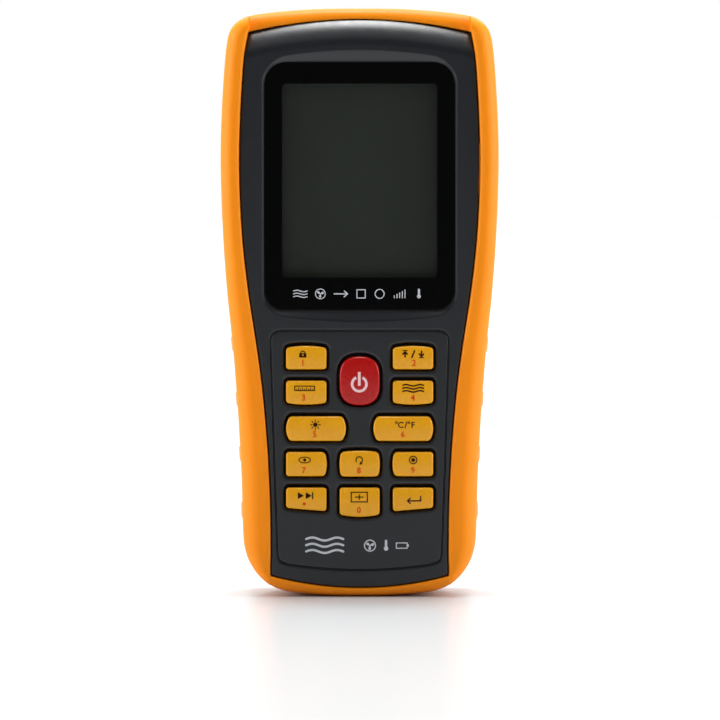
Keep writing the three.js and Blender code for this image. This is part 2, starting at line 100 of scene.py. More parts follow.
def catmull(points, per=6):
    p = np.array(points, float)
    out = []
    for i in range(len(p) - 1):
        a = p[i - 1] if i else 2 * p[0] - p[1]
        b, c = p[i], p[i + 1]
        d = p[i + 2] if i + 2 < len(p) else 2 * p[-1] - p[-2]
        for k in range(per):
            t = k / per
            out.append(0.5 * ((2 * b) + (c - a) * t + (2 * a - 5 * b + 4 * c - d) * t * t + (3 * b - a - 3 * c + d) * t**3))
    out.append(p[-1])
    return np.array(out)


def resample(pts, step, closed=False):
    p = np.array(pts, float)
    if closed:
        p = np.vstack([p, p[:1]])
    seg = np.linalg.norm(np.diff(p, axis=0), axis=1)
    s = np.concatenate([[0], np.cumsum(seg)])
    n = max(2, int(round(s[-1] / step)))
    t = np.linspace(0, s[-1], n + 1)
    q = np.column_stack([np.interp(t, s, p[:, k]) for k in range(p.shape[1])])
    return q[:-1] if closed else q


def densify(loop, step):
    """Adds points along the long edges of a closed loop, keeping its corners."""
    out = []
    for a, b in zip(loop, np.roll(loop, -1, axis=0)):
        n = max(1, int(math.ceil(np.linalg.norm(b - a) / step)))
        out += [a + (b - a) * i / n for i in range(n)]
    return np.array(out)


side_fine = catmull(SIDE, 6)
outer_fine = catmull(OUTER, 6)


def side_half(z):
    return np.interp(z, side_fine[:, 1], side_fine[:, 0])


def panel_outline(d=0.0, step=1.0, corner=0.9):
    """Closed outline of the covers, moved inwards by d, counter-clockwise from the bottom left corner."""
    xb = np.linspace(-25.0, 25.0, 60)
    bottom = np.column_stack([xb, panel_bottom(xb)])
    right = side_fine.copy()
    right[0, 1], right[-1, 1] = panel_bottom(25), panel_top(31.2)
    xt = np.linspace(31.2, -31.2, 70)
    top = np.column_stack([xt, panel_top(xt)])
    left = right[::-1] * [-1, 1]
    loop = np.vstack([bottom[:-1], right[:-1], top[:-1], left[:-1]])
    return inset_round(loop, d, step, corner)


def inset_round(loop, d, step, corner=0.0):
    """Insets a closed outline by d: a distance-field style inset with mitres, then resampled."""
    p = resample(loop, step, closed=True)
    if corner > 0:
        for _ in range(2):
            p = chaikin_sharp(p, corner)
    if abs(d) > 1e-9:
        p = offset(p, -d)
    return p


def chaikin_sharp(p, size):
    """Cuts only sharp corners."""
    out = []
    n = len(p)
    for i in range(n):
        a, b, c = p[i - 1], p[i], p[(i + 1) % n]
        u, v = b - a, c - b
        lu, lv = np.linalg.norm(u), np.linalg.norm(v)
        turn = abs(math.atan2(u[0] * v[1] - u[1] * v[0], u @ v))
        if turn > math.radians(14):
            k = min(size * 0.5, lu * 0.45, lv * 0.45)
            out += [b - u / lu * k, b + v / lv * k]
        else:
            out.append(b)
    return np.array(out)


def offset(p, d):
    """Moves each edge of a closed counter-clockwise outline outwards by d."""
    a, b = np.roll(p, 1, axis=0), np.roll(p, -1, axis=0)
    u, v = p - a, b - p
    u /= np.linalg.norm(u, axis=1)[:, None] + 1e-12
    v /= np.linalg.norm(v, axis=1)[:, None] + 1e-12
    nu, nv = np.column_stack([u[:, 1], -u[:, 0]]), np.column_stack([v[:, 1], -v[:, 0]])
    m = nu + nv
    return p + m * (2 * d / np.maximum(0.4, (m * m).sum(1)))[:, None]


def rounded_rect(cx, cz, w, h, r, n=8, rb=None):
    """Counter-clockwise from the bottom right corner; rb is the bottom corners' radius."""
    rb = r if rb is None else rb
    out = []
    for x, z, start, rr in [
        (cx + w / 2, cz - h / 2, -90, rb), (cx + w / 2, cz + h / 2, 0, r), (cx - w / 2, cz + h / 2, 90, r), (cx - w / 2, cz - h / 2, 180, rb),
    ]:
        ox, oz = x - math.copysign(rr, x - cx), z - math.copysign(rr, z - cz)
        for i in range(n + 1):
            a = math.radians(start + 90 * i / n)
            out.append([ox + rr * math.cos(a), oz + rr * math.sin(a)])
    return np.array(out)


def trapezoid(half_top, z_top, half_bot, z_bot, r_top, r_bot, z_mid_bot, n=8):
    """The keypad groove's line: straight top, sloping sides, bowed bottom."""
    c = [np.array(v, float) for v in ([half_bot, z_bot], [half_top, z_top], [-half_top, z_top], [-half_bot, z_bot])]
    rr = [r_bot, r_top, r_top, r_bot]
    out = []
    for i in range(4):
        a, b, d = c[i - 1], c[i], c[(i + 1) % 4]
        if i == 0:
            a = np.array([0, z_mid_bot])
        if i == 3:
            d = np.array([0, z_mid_bot])
        u, v = (a - b) / np.linalg.norm(a - b), (d - b) / np.linalg.norm(d - b)
        p0, p2 = b + u * rr[i], b + v * rr[i]
        for k in range(n + 1):
            t = k / n
            out.append((1 - t) ** 2 * p0 + 2 * t * (1 - t) * b + t * t * p2)
    lo = [np.array([x, z_mid_bot + (z_bot - z_mid_bot) * (x / half_bot) ** 2 * 1.0]) for x in np.linspace(-half_bot + 2.2, half_bot - 2.2, 24)]
    return np.array(out + lo)


def key_outline(k, edge=14, corner=7):
    c = [np.array(v, float) for v in ([k["x1"], k["zBR"]], [k["x1"], k["zTR"]], [k["x0"], k["zTL"]], [k["x0"], k["zBL"]])]
    bow = [k.get("br", 0), k.get("bt", 0), k.get("bl", 0), k.get("bb", 0)]
    q = lambda a, m, b, t: (1 - t) ** 2 * a + 2 * t * (1 - t) * m + t * t * b
    edges = []
    for i in range(4):
        a, b = c[i], c[(i + 1) % 4]
        l = np.linalg.norm(b - a)
        n = np.array([b[1] - a[1], -(b[0] - a[0])]) / l
        m = (a + b) / 2 + 2 * bow[i] * n
        t = min(0.48, k["cut"] / l)
        edges.append([q(a, m, b, t + (1 - 2 * t) * j / edge) for j in range(edge + 1)])
    out = []
    for i in range(4):
        out += edges[i]
        a, b = edges[i][-1], edges[(i + 1) % 4][0]
        out += [q(a, c[(i + 1) % 4], b, j / corner) for j in range(1, corner)]
    return np.array(out)


def mirror_key(k):
    m = dict(x0=-k["x1"], x1=-k["x0"], zTL=k["zTR"], zTR=k["zTL"], zBL=k["zBR"], zBR=k["zBL"], bt=k.get("bt", 0), bb=k.get("bb", 0), bl=k.get("br", 0), br=k.get("bl", 0), cut=k["cut"])
    return m


K_HOLD = dict(x0=-20.6, x1=-9.3, zTL=70, zTR=70, zBL=64, zBR=64, bt=0.55, cut=1)
K_UNIT = dict(x0=-20.6, x1=-9.3, zTL=60.8, zTR=60.8, zBL=54.6, zBR=54.6, bb=0.5, cut=1)
K_LIGHT = dict(x0=-19.55, x1=-4.9, zTL=50.8, zTR=50.8, zBL=43.9, zBR=43.9, bl=1.05, br=1.05, cut=0.75)
K_READ = dict(x0=-20.6, x1=-9.8, zTL=40.8, zTR=40.8, zBL=34, zBR=34, br=0.6, cut=1)
K_START = dict(x0=-20.6, x1=-9.3, zTL=30.8, zTR=30.8, zBL=25.1, zBR=24.15, cut=1)
KEYS = {
    "hold": K_HOLD,
    "max_min": mirror_key(K_HOLD),
    "power": dict(x0=-5.3, x1=5.3, zTL=67.1, zTR=67.1, zBL=54.4, zBR=54.4, bt=0.5, bb=0.5, bl=0.35, br=0.35, cut=4.1),
    "unit": K_UNIT,
    "velocity_flow": mirror_key(K_UNIT),
    "light": K_LIGHT,
    "temperature_unit": mirror_key(K_LIGHT),
    "read": K_READ,
    "reset": dict(x0=-5.2, x1=5.2, zTL=40.8, zTR=40.8, zBL=33.9, zBR=33.9, bt=0.35, bl=0.45, br=0.45, cut=1),
    "record": mirror_key(K_READ),
    "start_next": K_START,
    "sample_area": dict(x0=-5.6, x1=5.6, zTL=30.8, zTR=30.8, zBL=23.2, zBR=23.2, bb=0.6, cut=1),
    "option_enter": mirror_key(K_START),
}


# ------------------------------------------------------------------ distance helpers
def dist_to_loop(P, loop):
    """Unsigned distance of points P to a closed polyline, and whether each is inside it."""
    P = np.asarray(P, float)
    A, B = loop, np.roll(loop, -1, axis=0)
    best = np.full(len(P), 1e9)
    inside = np.zeros(len(P), bool)
    for s in range(0, len(P), 4000):
        p = P[s : s + 4000][:, None, :]
        ab = B - A
        t = np.clip(((p - A) * ab).sum(-1) / np.maximum(1e-12, (ab * ab).sum(-1)), 0, 1)
        d = np.linalg.norm(p - (A + t[..., None] * ab), axis=-1)
        best[s : s + 4000] = d.min(1)
        x, z = p[..., 0], p[..., 1]
        cross = ((A[:, 1] > z) != (B[:, 1] > z)) & (x < (B[:, 0] - A[:, 0]) * (z - A[:, 1]) / (B[:, 1] - A[:, 1] + 1e-15) + A[:, 0])
        inside[s : s + 4000] = cross.sum(1) % 2 == 1
    return best, inside


def signed(P, loop):
    """Distance, positive outside."""
    d, i = dist_to_loop(P, loop)
    return np.where(i, -d, d)


def round_drop(d, r, depth):
    """How far the surface has fallen at a distance d from an edge that is rounded over a width r."""
    u = np.clip(1 - np.asarray(d, float) / r, 0, 1)
    return depth * (1 - np.sqrt(np.maximum(0, 1 - (u * 0.985) ** 2))) / (1 - math.sqrt(1 - 0.985**2))


# ------------------------------------------------------------------ meshes
def make_object(name, verts, faces, body, material, normals=None, smooth=True, sharp=None, turn=False):
    """Lengths in mm; turn swings a piece drawn facing -Y round to face +X."""
    if turn:
        verts = [(-v[1], v[0], v[2]) for v in verts]
        normals = None if normals is None else [(-v[1], v[0], v[2]) for v in normals]
    me = bpy.data.meshes.new(name)
    me.from_pydata([tuple(float(c) * MM for c in v) for v in verts], [], [tuple(int(i) for i in f) for f in faces])
    me.validate(clean_customdata=False)
    me.polygons.foreach_set("use_smooth", [smooth] * len(me.polygons))
    me.update()
    o = bpy.data.objects.new(name, me)
    bpy.context.scene.collection.objects.link(o)
    if material is not None:
        for m in material if isinstance(material, (list, tuple)) else [material]:
            me.materials.append(m)
    if sharp is not None and smooth:
        me.set_sharp_from_angle(angle=math.radians(sharp))
    if normals is not None and len(me.vertices) == len(normals):
        me.normals_split_custom_set_from_vertices([tuple(n) for n in normals])
    if body:
        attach(o, body)
    return o


def weld(o, dist):
    bm = bmesh.new()
    bm.from_mesh(o.data)
    bmesh.ops.remove_doubles(bm, verts=bm.verts, dist=dist)
    bmesh.ops.dissolve_degenerate(bm, edges=bm.edges, dist=dist)
    bmesh.ops.recalc_face_normals(bm, faces=bm.faces)
    bm.to_mesh(o.data)
    bm.free()


def triangulate(rings, extra, keep):
    """Delaunay triangles of closed rings and loose points; keep says which triangle centres stay."""
    pts, edges = [], []
    for r in rings:
        s = len(pts)
        n = len(r)
        pts += [Vector((float(a), float(b))) for a, b in r]
        edges += [(s + i, s + (i + 1) % n) for i in range(n)]
    pts += [Vector((float(a), float(b))) for a, b in extra]
    v, _, f, *_ = delaunay_2d_cdt(pts, edges, [], 0, 1e-5, False)
    v = np.array([(p[0], p[1]) for p in v])
    f = np.array([t for t in f if len(t) == 3])
    c = v[f].mean(axis=1)
    f = f[keep(c)]
    used, inv = np.unique(f, return_inverse=True)
    return v[used], inv.reshape(f.shape)


def relief(name, outline, holes, rings, extra, height, body, material, facing=-1, wall=3.0, hole_wall=2.2, back=None, turn=False):
    """A cover's face: flat triangulation raised to height(P), with walls run back from its outline and its holes."""
    def keep(c):
        k = signed(c, outline) < 0
        for h in holes:
            near = (np.abs(c - h.mean(0)) < np.ptp(h, axis=0) / 2 + 1).all(1)
            if near.any():
                k[near] &= signed(c[near], h) > 0
        return k

    v, f = triangulate([outline, *holes, *rings], extra, keep)
    e = 0.02
    y = height(v)
    gx = (height(v + [e, 0]) - height(v - [e, 0])) / (2 * e)
    gz = (height(v + [0, e]) - height(v - [0, e])) / (2 * e)
    n = np.column_stack([gx * -facing, np.full(len(v), 1.0) * facing, gz * -facing])
    n /= np.linalg.norm(n, axis=1)[:, None]
    verts = [np.column_stack([v[:, 0], y, v[:, 1]])]
    norms = [n]
    faces = []
    a, b, c = v[f[:, 0]], v[f[:, 1]], v[f[:, 2]]
    ccw = np.cross(b - a, c - a) > 0
    # seen from -Y with +X right and +Z up, a counter-clockwise triangle faces -Y
    for t, w in zip(f, ccw):
        t = t if w == (facing < 0) else t[::-1]
        faces.append(tuple(t))
    count = len(v)
    depths = hole_wall if isinstance(hole_wall, (list, tuple)) else [hole_wall] * len(holes)
    for loop, inner, depth in [(outline, False, wall)] + [(h, True, hd) for h, hd in zip(holes, depths)]:
        m = len(loop)
        y0 = height(loop)
        outward = offset(loop, 1.0) - loop
        outward /= np.linalg.norm(outward, axis=1)[:, None] + 1e-12
        if inner:
            outward = -outward
        y1 = y0 - facing * depth if back is None else np.full(m, back)
        verts.append(np.column_stack([loop[:, 0], y0, loop[:, 1]]))
        verts.append(np.column_stack([loop[:, 0], y1, loop[:, 1]]))
        nn = np.column_stack([outward[:, 0], np.zeros(m), outward[:, 1]])
        first = nn + np.array([0, 0.35 * facing, 0])
        norms += [first / np.linalg.norm(first, axis=1)[:, None], nn]
        for i in range(m):
            j = (i + 1) % m
            q = (count + i, count + j, count + m + j, count + m + i)
            faces.append(q if (inner == (facing < 0)) else q[::-1])
        count += 2 * m
    return make_object(name, np.vstack(verts), faces, body, material, np.vstack(norms), turn=turn)


def cap(name, outline, y_face, dome, edge_r, edge_d, depth, body, material, centre=None, tilt=None, steps=7):
    """A key or plate: its outline shrunk ring by ring over a rounded edge, then a slightly domed face. Faces -Y."""
    c = (outline.max(0) + outline.min(0)) / 2 if centre is None else np.array(centre, float)
    half = np.ptp(outline, axis=0) / 2
    verts, ring_y = [], []

    def ring(d):
        return c + (outline - c) * (1 - d / half)

    levels = []
    for i in range(steps + 1):
        a = math.pi / 2 * i / steps
        levels.append((edge_r * (1 - math.cos(a)), edge_d * (1 - math.sin(a))))
    loops = [(outline, np.full(len(outline), depth))]
    for d, drop in levels:
        loops.append((ring(d), np.full(len(outline), drop)))
    r0 = ring(edge_r)
    for s in (0.86, 0.7, 0.52, 0.34, 0.17):
        p = c + (r0 - c) * s
        loops.append((p, None))
    pts = []
    for p, drop in loops:
        base = y_face + dome * (((p - c) / half) ** 2).sum(1) / 1.6
        if tilt is not None:
            base = base + tilt(p)
        pts.append(np.column_stack([p[:, 0], base + (0 if drop is None else drop), p[:, 1]]))
    m = len(outline)
    verts = np.vstack(pts + [[[c[0], y_face + (0 if tilt is None else float(tilt(c[None])[0])), c[1]]]])
    faces = []
    for k in range(len(pts) - 1):
        for i in range(m):
            j = (i + 1) % m
            faces.append((k * m + i, k * m + j, (k + 1) * m + j, (k + 1) * m + i))
    last = (len(pts) - 1) * m
    faces += [(last + i, last + (i + 1) % m, len(verts) - 1) for i in range(m)]
    return make_object(name, verts, faces, body, material)


def lathe(name, profile, x, y, body, material, n=96, sharp=30):
    """profile of [radius, z] turned about a line parallel to +Z."""
    verts, faces = [], []
    for r, z in profile:
        for i in range(n):
            a = 2 * math.pi * i / n
            verts.append((x + r * math.cos(a), y + r * math.sin(a), z))
    for k in range(len(profile) - 1):
        for i in range(n):
            j = (i + 1) % n
            faces.append((k * n + i, k * n + j, (k + 1) * n + j, (k + 1) * n + i))
    return make_object(name, verts, faces, body, material, sharp=sharp)


# ------------------------------------------------------------------ materials
def lin(r, g, b):
    return tuple((v / 255 / 12.92) if v / 255 <= 0.04045 else ((v / 255 + 0.055) / 1.055) ** 2.4 for v in (r, g, b)) + (1.0,)


def material(name, colour, rough, grain=0.0, grain_scale=2200, vary=0.06, vary_scale=60, metallic=0.0, coat=0.0, coat_rough=0.1,
             spec=0.5, rough_vary=0.05, alpha=1.0, sheen=0.0, edge=None, subsurface=0.0, ior=1.45):
    """A principled material with soft colour variation, uneven gloss and a moulded surface grain, all procedural."""
    m = bpy.data.materials.new(name)
    m.use_nodes = True
    nt = m.node_tree
    b = nt.nodes["Principled BSDF"]
    b.inputs["Metallic"].default_value = metallic
    b.inputs["Specular IOR Level"].default_value = spec
    b.inputs["IOR"].default_value = ior
    b.inputs["Coat Weight"].default_value = coat
    b.inputs["Coat Roughness"].default_value = coat_rough
    b.inputs["Sheen Weight"].default_value = sheen
    b.inputs["Alpha"].default_value = alpha
    if subsurface:
        b.inputs["Subsurface Weight"].default_value = subsurface
        b.inputs["Subsurface Radius"].default_value = (0.002, 0.0008, 0.0002)
        b.inputs["Subsurface Scale"].default_value = 1.0
    tc = nt.nodes.new("ShaderNodeTexCoord")
    n1 = nt.nodes.new("ShaderNodeTexNoise")
    n1.inputs["Scale"].default_value = vary_scale
    n1.inputs["Detail"].default_value = 3
    nt.links.new(tc.outputs["Object"], n1.inputs["Vector"])
    ramp = nt.nodes.new("ShaderNodeValToRGB")
    ramp.color_ramp.elements[0].position = 0.3
    ramp.color_ramp.elements[1].position = 0.7
    c = np.array(colour[:3])
    ramp.color_ramp.elements[0].color = (*np.clip(c * (1 - vary), 0, 1), 1)
    ramp.color_ramp.elements[1].color = (*np.clip(c * (1 + vary), 0, 1), 1)
    nt.links.new(n1.outputs["Fac"], ramp.inputs["Fac"])
    nt.links.new(ramp.outputs["Color"], b.inputs["Base Color"])
    n2 = nt.nodes.new("ShaderNodeTexNoise")
    n2.inputs["Scale"].default_value = vary_scale * 6
    n2.inputs["Detail"].default_value = 4
    nt.links.new(tc.outputs["Object"], n2.inputs["Vector"])
    mr = nt.nodes.new("ShaderNodeMapRange")
    mr.inputs["From Min"].default_value = 0.3
    mr.inputs["From Max"].default_value = 0.7
    mr.inputs["To Min"].default_value = max(0.02, rough - rough_vary)
    mr.inputs["To Max"].default_value = min(1, rough + rough_vary)
    nt.links.new(n2.outputs["Fac"], mr.inputs["Value"])
    nt.links.new(mr.outputs["Result"], b.inputs["Roughness"])
    if grain > 0:
        n3 = nt.nodes.new("ShaderNodeTexNoise")
        n3.inputs["Scale"].default_value = grain_scale
        n3.inputs["Detail"].default_value = 2
        nt.links.new(tc.outputs["Object"], n3.inputs["Vector"])
        bump = nt.nodes.new("ShaderNodeBump")
        bump.inputs["Strength"].default_value = grain
        bump.inputs["Distance"].default_value = 0.00012
        nt.links.new(n3.outputs["Fac"], bump.inputs["Height"])
        nt.links.new(bump.outputs["Normal"], b.inputs["Normal"])
    return m


M = {
    "housing": material("charcoal_abs", lin(18, 20, 25), 0.31, grain=0.14, grain_scale=2600, vary=0.05, spec=0.6, rough_vary=0.03),
    "housing_dark": material("charcoal_recess", lin(22, 22, 25), 0.5, grain=0.2),
    "bumper": material("orange_tpe", lin(250, 142, 4), 0.46, grain=0.14, grain_scale=1800, vary=0.02, spec=0.25, subsurface=0.04),
    "lens": material("lens_black_print", lin(3, 3, 4), 0.09, vary=0.1, rough_vary=0.02, coat=0.0, spec=0.14),
    "pane": material("lens_clear", lin(8, 9, 9), 0.06, vary=0.1, rough_vary=0.01, alpha=0.16, spec=0.25),
    "lcd": material("lcd_polariser", lin(46, 50, 45), 0.5, vary=0.05, vary_scale=30, spec=0.2),
    "key": material("key_amber", lin(228, 158, 3), 0.26, grain=0.03, vary=0.03, spec=0.4, coat=0.15, coat_rough=0.18, subsurface=0.0),
    "key_red": material("key_red", lin(174, 4, 2), 0.26, grain=0.03, vary=0.03, spec=0.35, coat=0.15, coat_rough=0.18, subsurface=0.0),
    "print_dark": material("print_dark", lin(40, 15, 4), 0.6, vary=0.1, vary_scale=900, spec=0.1),
    "print_red": material("print_red", lin(212, 58, 10), 0.6, vary=0.08, vary_scale=900, spec=0.1),
    "print_light": material("print_light", lin(190, 193, 198), 0.45, vary=0.06, vary_scale=900),
    "print_pink": material("print_pink", lin(238, 200, 204), 0.45, vary=0.06, vary_scale=900),
    "white": material("white_moulding", lin(226, 226, 220), 0.5, grain=0.1),
    "silicone": material("silicone_grey", lin(58, 58, 60), 0.65, grain=0.15),
    "board": material("solder_mask_green", lin(24, 78, 46), 0.35, vary=0.2, vary_scale=500),
    "black": material("black_moulding", lin(24, 24, 26), 0.45, grain=0.15),
    "nickel": material("nickel_plate", lin(198, 194, 186), 0.2, vary=0.04, metallic=1.0, rough_vary=0.06),
    "steel": material("screw_steel", lin(120, 121, 124), 0.32, vary=0.08, metallic=1.0, rough_vary=0.1),
    "gold": material("gold_flash", lin(212, 170, 92), 0.25, vary=0.05, metallic=1.0),
    "wire_red": material("wire_red", lin(150, 20, 22), 0.4, grain=0.05),
    "wire_black": material("wire_black", lin(20, 20, 22), 0.4, grain=0.05),
    "carbon": material("carbon_pill", lin(16, 16, 16), 0.7, grain=0.2),
    "can": material("battery_can", lin(84, 86, 90), 0.3, vary=0.06, metallic=0.8),
    "battery_wrap": material("battery_wrap", lin(28, 46, 84), 0.35, vary=0.05, rough_vary=0.06),
    "foam": material("foam", lin(34, 34, 36), 0.9, grain=0.5, grain_scale=900),
    "label_ink": material("label_ink", lin(34, 35, 38), 0.5, vary=0.06, vary_scale=600, spec=0.2),
    "label": material("label_film", lin(176, 178, 180), 0.38, vary=0.03, rough_vary=0.08),
}
SLOT = {
    "housing_plastic": "housing", "bumper_rubber": "bumper", "window_acrylic": "lens", "display_glass": "lcd", "white_moulding": "white",
    "silicone_grey": "silicone", "board": "board", "black_component": "black", "nickel_plate": "nickel", "wire_red": "wire_red",
    "wire_black": "wire_black", "key_yellow": "key", "key_red": "key_red", "carbon_pill": "carbon", "battery_can": "can", "foam": "foam",
    "label_film": "label", "screw_steel": "steel",
}
for sub in frame["record"]["subparts"]:
    o = frame["nodes"][sub["node"]]
    o.data.materials.clear()
    o.data.materials.append(M[SLOT[sub["material_slot"]]])

ROOT = "meter"

# ------------------------------------------------------------------ camera, floor and lights
FACE = mmbox("front_cover")[0][1]  # the panel's front, in mm
SPAN = 201.6 * MM  # width of the picture at the panel
DIST = 1.5
ELEV = math.radians(2.5)
target = Vector((0.1 * MM, FACE * MM, 66.6 * MM))
cam = bpy.data.cameras.new("camera")
cam.sensor_width = 36
cam.lens = 36 * DIST / SPAN
cam.clip_start, cam.clip_end = 0.05, 30
camera = bpy.data.objects.new("camera", cam)
bpy.context.scene.collection.objects.link(camera)
camera.location = target + Vector((0, -math.cos(ELEV), math.sin(ELEV))) * DIST
camera.rotation_euler = (math.pi / 2 - ELEV, 0, 0)
bpy.context.scene.camera = camera

floor = make_object("floor", [(-6000, -1300, 0), (6000, -1300, 0), (6000, 6000, 0), (-6000, 6000, 0)], [(0, 1, 2, 3)], None, None, smooth=False)
fm = bpy.data.materials.new("pale_floor")
fm.use_nodes = True
fb = fm.node_tree.nodes["Principled BSDF"]
fb.inputs["Base Color"].default_value = (0.54, 0.558, 0.569, 1)
fb.inputs["Roughness"].default_value = 0.28
fb.inputs["Specular IOR Level"].default_value = 0.35
floor.data.materials.append(fm)


def globe(name, loc, radius, power):
    l = bpy.data.lights.new(name, "POINT")
    l.shadow_soft_size = radius
    l.energy = power
    o = bpy.data.objects.new(name, l)
    bpy.context.scene.collection.objects.link(o)
    o.location = loc
    return o


def sunlight(name, strength, spread, tilt):
    l = bpy.data.lights.new(name, "SUN")
    l.energy = strength
    l.angle = math.radians(spread)
    o = bpy.data.objects.new(name, l)
    bpy.context.scene.collection.objects.link(o)
    o.rotation_euler = (math.radians(tilt), 0, 0)


sunlight("overhead", 2.0, 72, -42)
sunlight("overhead_strip", 3.2, 24, -5)
sunlight("front_sky", 0.4, 56, 24)
globe("left_globe", (-0.78, -0.12, 0.3), 0.27, 17.2)
globe("right_globe", (0.78, -0.12, 0.3), 0.27, 17.2)

# A pale room: bright behind the object and dim in front of it; the camera sees a plain white background.
world = bpy.data.worlds.new("world")
world.use_nodes = True
wt = world.node_tree
bg = wt.nodes["Background"]
wtc = wt.nodes.new("ShaderNodeTexCoord")
sep = wt.nodes.new("ShaderNodeSeparateXYZ")
wt.links.new(wtc.outputs["Generated"], sep.inputs["Vector"])
wmr = wt.nodes.new("ShaderNodeMapRange")
wmr.interpolation_type = "SMOOTHSTEP"
wmr.inputs["From Min"].default_value = -0.35
wmr.inputs["From Max"].default_value = 0.55
wmr.inputs["To Min"].default_value = 0.17
wmr.inputs["To Max"].default_value = 0.7
wt.links.new(sep.outputs["Y"], wmr.inputs["Value"])
lp = wt.nodes.new("ShaderNodeLightPath")
wmx = wt.nodes.new("ShaderNodeMix")
wmx.data_type = "FLOAT"
wt.links.new(lp.outputs["Is Camera Ray"], wmx.inputs["Factor"])
wt.links.new(wmr.outputs["Result"], wmx.inputs["A"])
wmx.inputs["B"].default_value = 1.0
wt.links.new(wmx.outputs["Result"], bg.inputs["Strength"])
bg.inputs["Color"].default_value = (1, 1, 1, 1)
bpy.context.scene.world = world
bpy.context.scene.view_settings.view_transform = "Standard"
bpy.context.scene.view_settings.look = "None"

# ------------------------------------------------------------------ front cover
Y_PANEL, CROWN = -17.0, 0.8
WIN = dict(w=53.2, h=69.5, z=115.1)
lens_hole = rounded_rect(0, WIN["z"], WIN["w"] + 0.3, WIN["h"] + 0.3, 6.4, 14, rb=5.4)
LENS_Y = -16.2
BEV_TOP, BEV_BOT = 3.1, 2.8


def crown(x):
    return Y_PANEL + CROWN * (np.asarray(x, float) / 33.7) ** 2


def bevel_outline():
    """The line where the panel breaks into the sloping recess round the lens: arched above and below it."""
    hw, hz = WIN["w"] / 2 + 0.15, WIN["h"] / 2 + 0.15
    base = densify(offset(lens_hole, 0.75), 0.8)
    out = []
    for x, z in base:
        u = max(0.0, 1 - (abs(x) / (hw - 1.0)) ** 2)
        high = np.clip((z - (WIN["z"] + hz - 6.5)) / 7.0, 0, 1)
        low = np.clip(((WIN["z"] - hz + 5.5) - z) / 6.0, 0, 1)
        out.append((x, z + u * ((BEV_TOP - 0.6) * high * high * (3 - 2 * high) - (BEV_BOT - 0.6) * low * low * (3 - 2 * low))))
    return resample(np.array(out), 0.8, closed=True)


bevel = bevel_outline()
groove = resample(trapezoid(25.1, 74.8, 23.0, 9.6, 3.4, 2.4, 7.6), 0.8, closed=True)
key_loops = {n: key_outline(k) for n, k in KEYS.items()}
APERTURE = {n: offset(l + [0, 0.2], 0.6) for n, l in key_loops.items()}
cover_loop = panel_outline(0.3, 1.0)


def front_height(P):
    P = np.asarray(P, float)
    x, z = P[:, 0], P[:, 1]
    y = crown(x)
    # brow: the top rolls back
    y = y + 3.9 * np.clip(1 - (panel_top(x) - 0.3 - z) / 7.2, 0, 1.0) ** 2.1
    # the edge all round
    edge, _ = dist_to_loop(P, cover_loop)
    low = z < 150
    y = y + np.where(low, round_drop(edge, 0.7, 0.45), round_drop(edge, 0.7, 0.45) * np.clip((159 - z) / 9, 0, 1))
    # recess round the lens
    near = (np.abs(x) < 29) & (z > 74) & (z < 156)
    if near.any():
        q = P[near]
        dl, inside = dist_to_loop(q, lens_hole)
        db = signed(q, bevel)
        t = np.clip(np.where(db < 0, dl / (dl - db + 1e-6), 1.0), 0, 1)
        floor_y = LENS_Y + 0.15
        yy = y[near]
        y[near] = np.where(db < 0, floor_y + (yy - floor_y) * np.clip(t, 0, 1), yy)
    # groove round the keypad
    near = (np.abs(x) < 27) & (z > 6) & (z < 77)
    if near.any():
        dg, _ = dist_to_loop(P[near], groove)
        y[near] += 0.5 * np.exp(-((dg / 0.24) ** 2))
    # rounded edges of the key apertures
    for n, loop in APERTURE.items():
        c = (loop.max(0) + loop.min(0)) / 2
        near = (np.abs(P - c) < np.ptp(loop, axis=0) / 2 + 1.2).all(1)
        if near.any():
            d, inside = dist_to_loop(P[near], loop)
            y[near] += round_drop(np.where(inside, 0, d), 0.72, 0.6)
    return y


rings = []
for d in (0.06, 0.16, 0.3, 0.48, 0.7, 1.2):
    rings.append(offset(cover_loop, -d))
brow = []
for t in (0.25, 0.55, 0.95, 1.45, 2.05, 2.75, 3.55, 4.4, 5.3, 6.2, 7.2):
    for x in np.linspace(-30.2, 30.2, 62):
        zz = panel_top(x) - 0.3 - t
        if abs(x) < side_half(zz) - 1.6:
            brow.append((x, zz))
rings.append(bevel)
rings += [offset(bevel, d) for d in (0.12, 0.4, 0.9)]
bev_pts = []
for s in (0.25, 0.5, 0.75):
    # between lens and bevel line
    d = np.array([lens_hole[np.argmin(((lens_hole - b) ** 2).sum(1))] for b in bevel])
    near = np.column_stack([np.clip(bevel[:, 0], -WIN["w"] / 2, WIN["w"] / 2), np.clip(bevel[:, 1], WIN["z"] - WIN["h"] / 2, WIN["z"] + WIN["h"] / 2)])
    q = bevel + (near - bevel) * s
    dq = signed(q, lens_hole)
    bev_pts += [tuple(v) for v, k in zip(q, dq) if k > 0.12]
for d in (-0.6, -0.42, -0.28, -0.14, 0, 0.14, 0.28, 0.45, 0.7):
    rings.append(offset(groove, d))
for n, loop in APERTURE.items():
    for d in (0.05, 0.14, 0.26, 0.42, 0.62, 0.95):
        rings.append(offset(loop, d))
grid = []
for z in np.arange(3.5, 158, 2.3):
    for x in np.arange(-33, 33.1, 2.2):
        grid.append((x, z))
grid = np.array(grid)
ok = signed(grid, cover_loop) < -1.8
for n, loop in APERTURE.items():
    ok &= signed(grid, loop) > 1.2
ok &= signed(grid, bevel) > 0.6
ok &= dist_to_loop(grid, groove)[0] > 1.0
ok &= grid[:, 1] < panel_top(grid[:, 0]) - 8
grid = grid[ok]
front = relief(
    "front_panel", cover_loop, [lens_hole, *APERTURE.values()], rings, list(map(tuple, grid)) + brow + bev_pts, front_height, ROOT, M["housing"], wall=4.0, hole_wall=2.4,
)
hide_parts("front_cover")

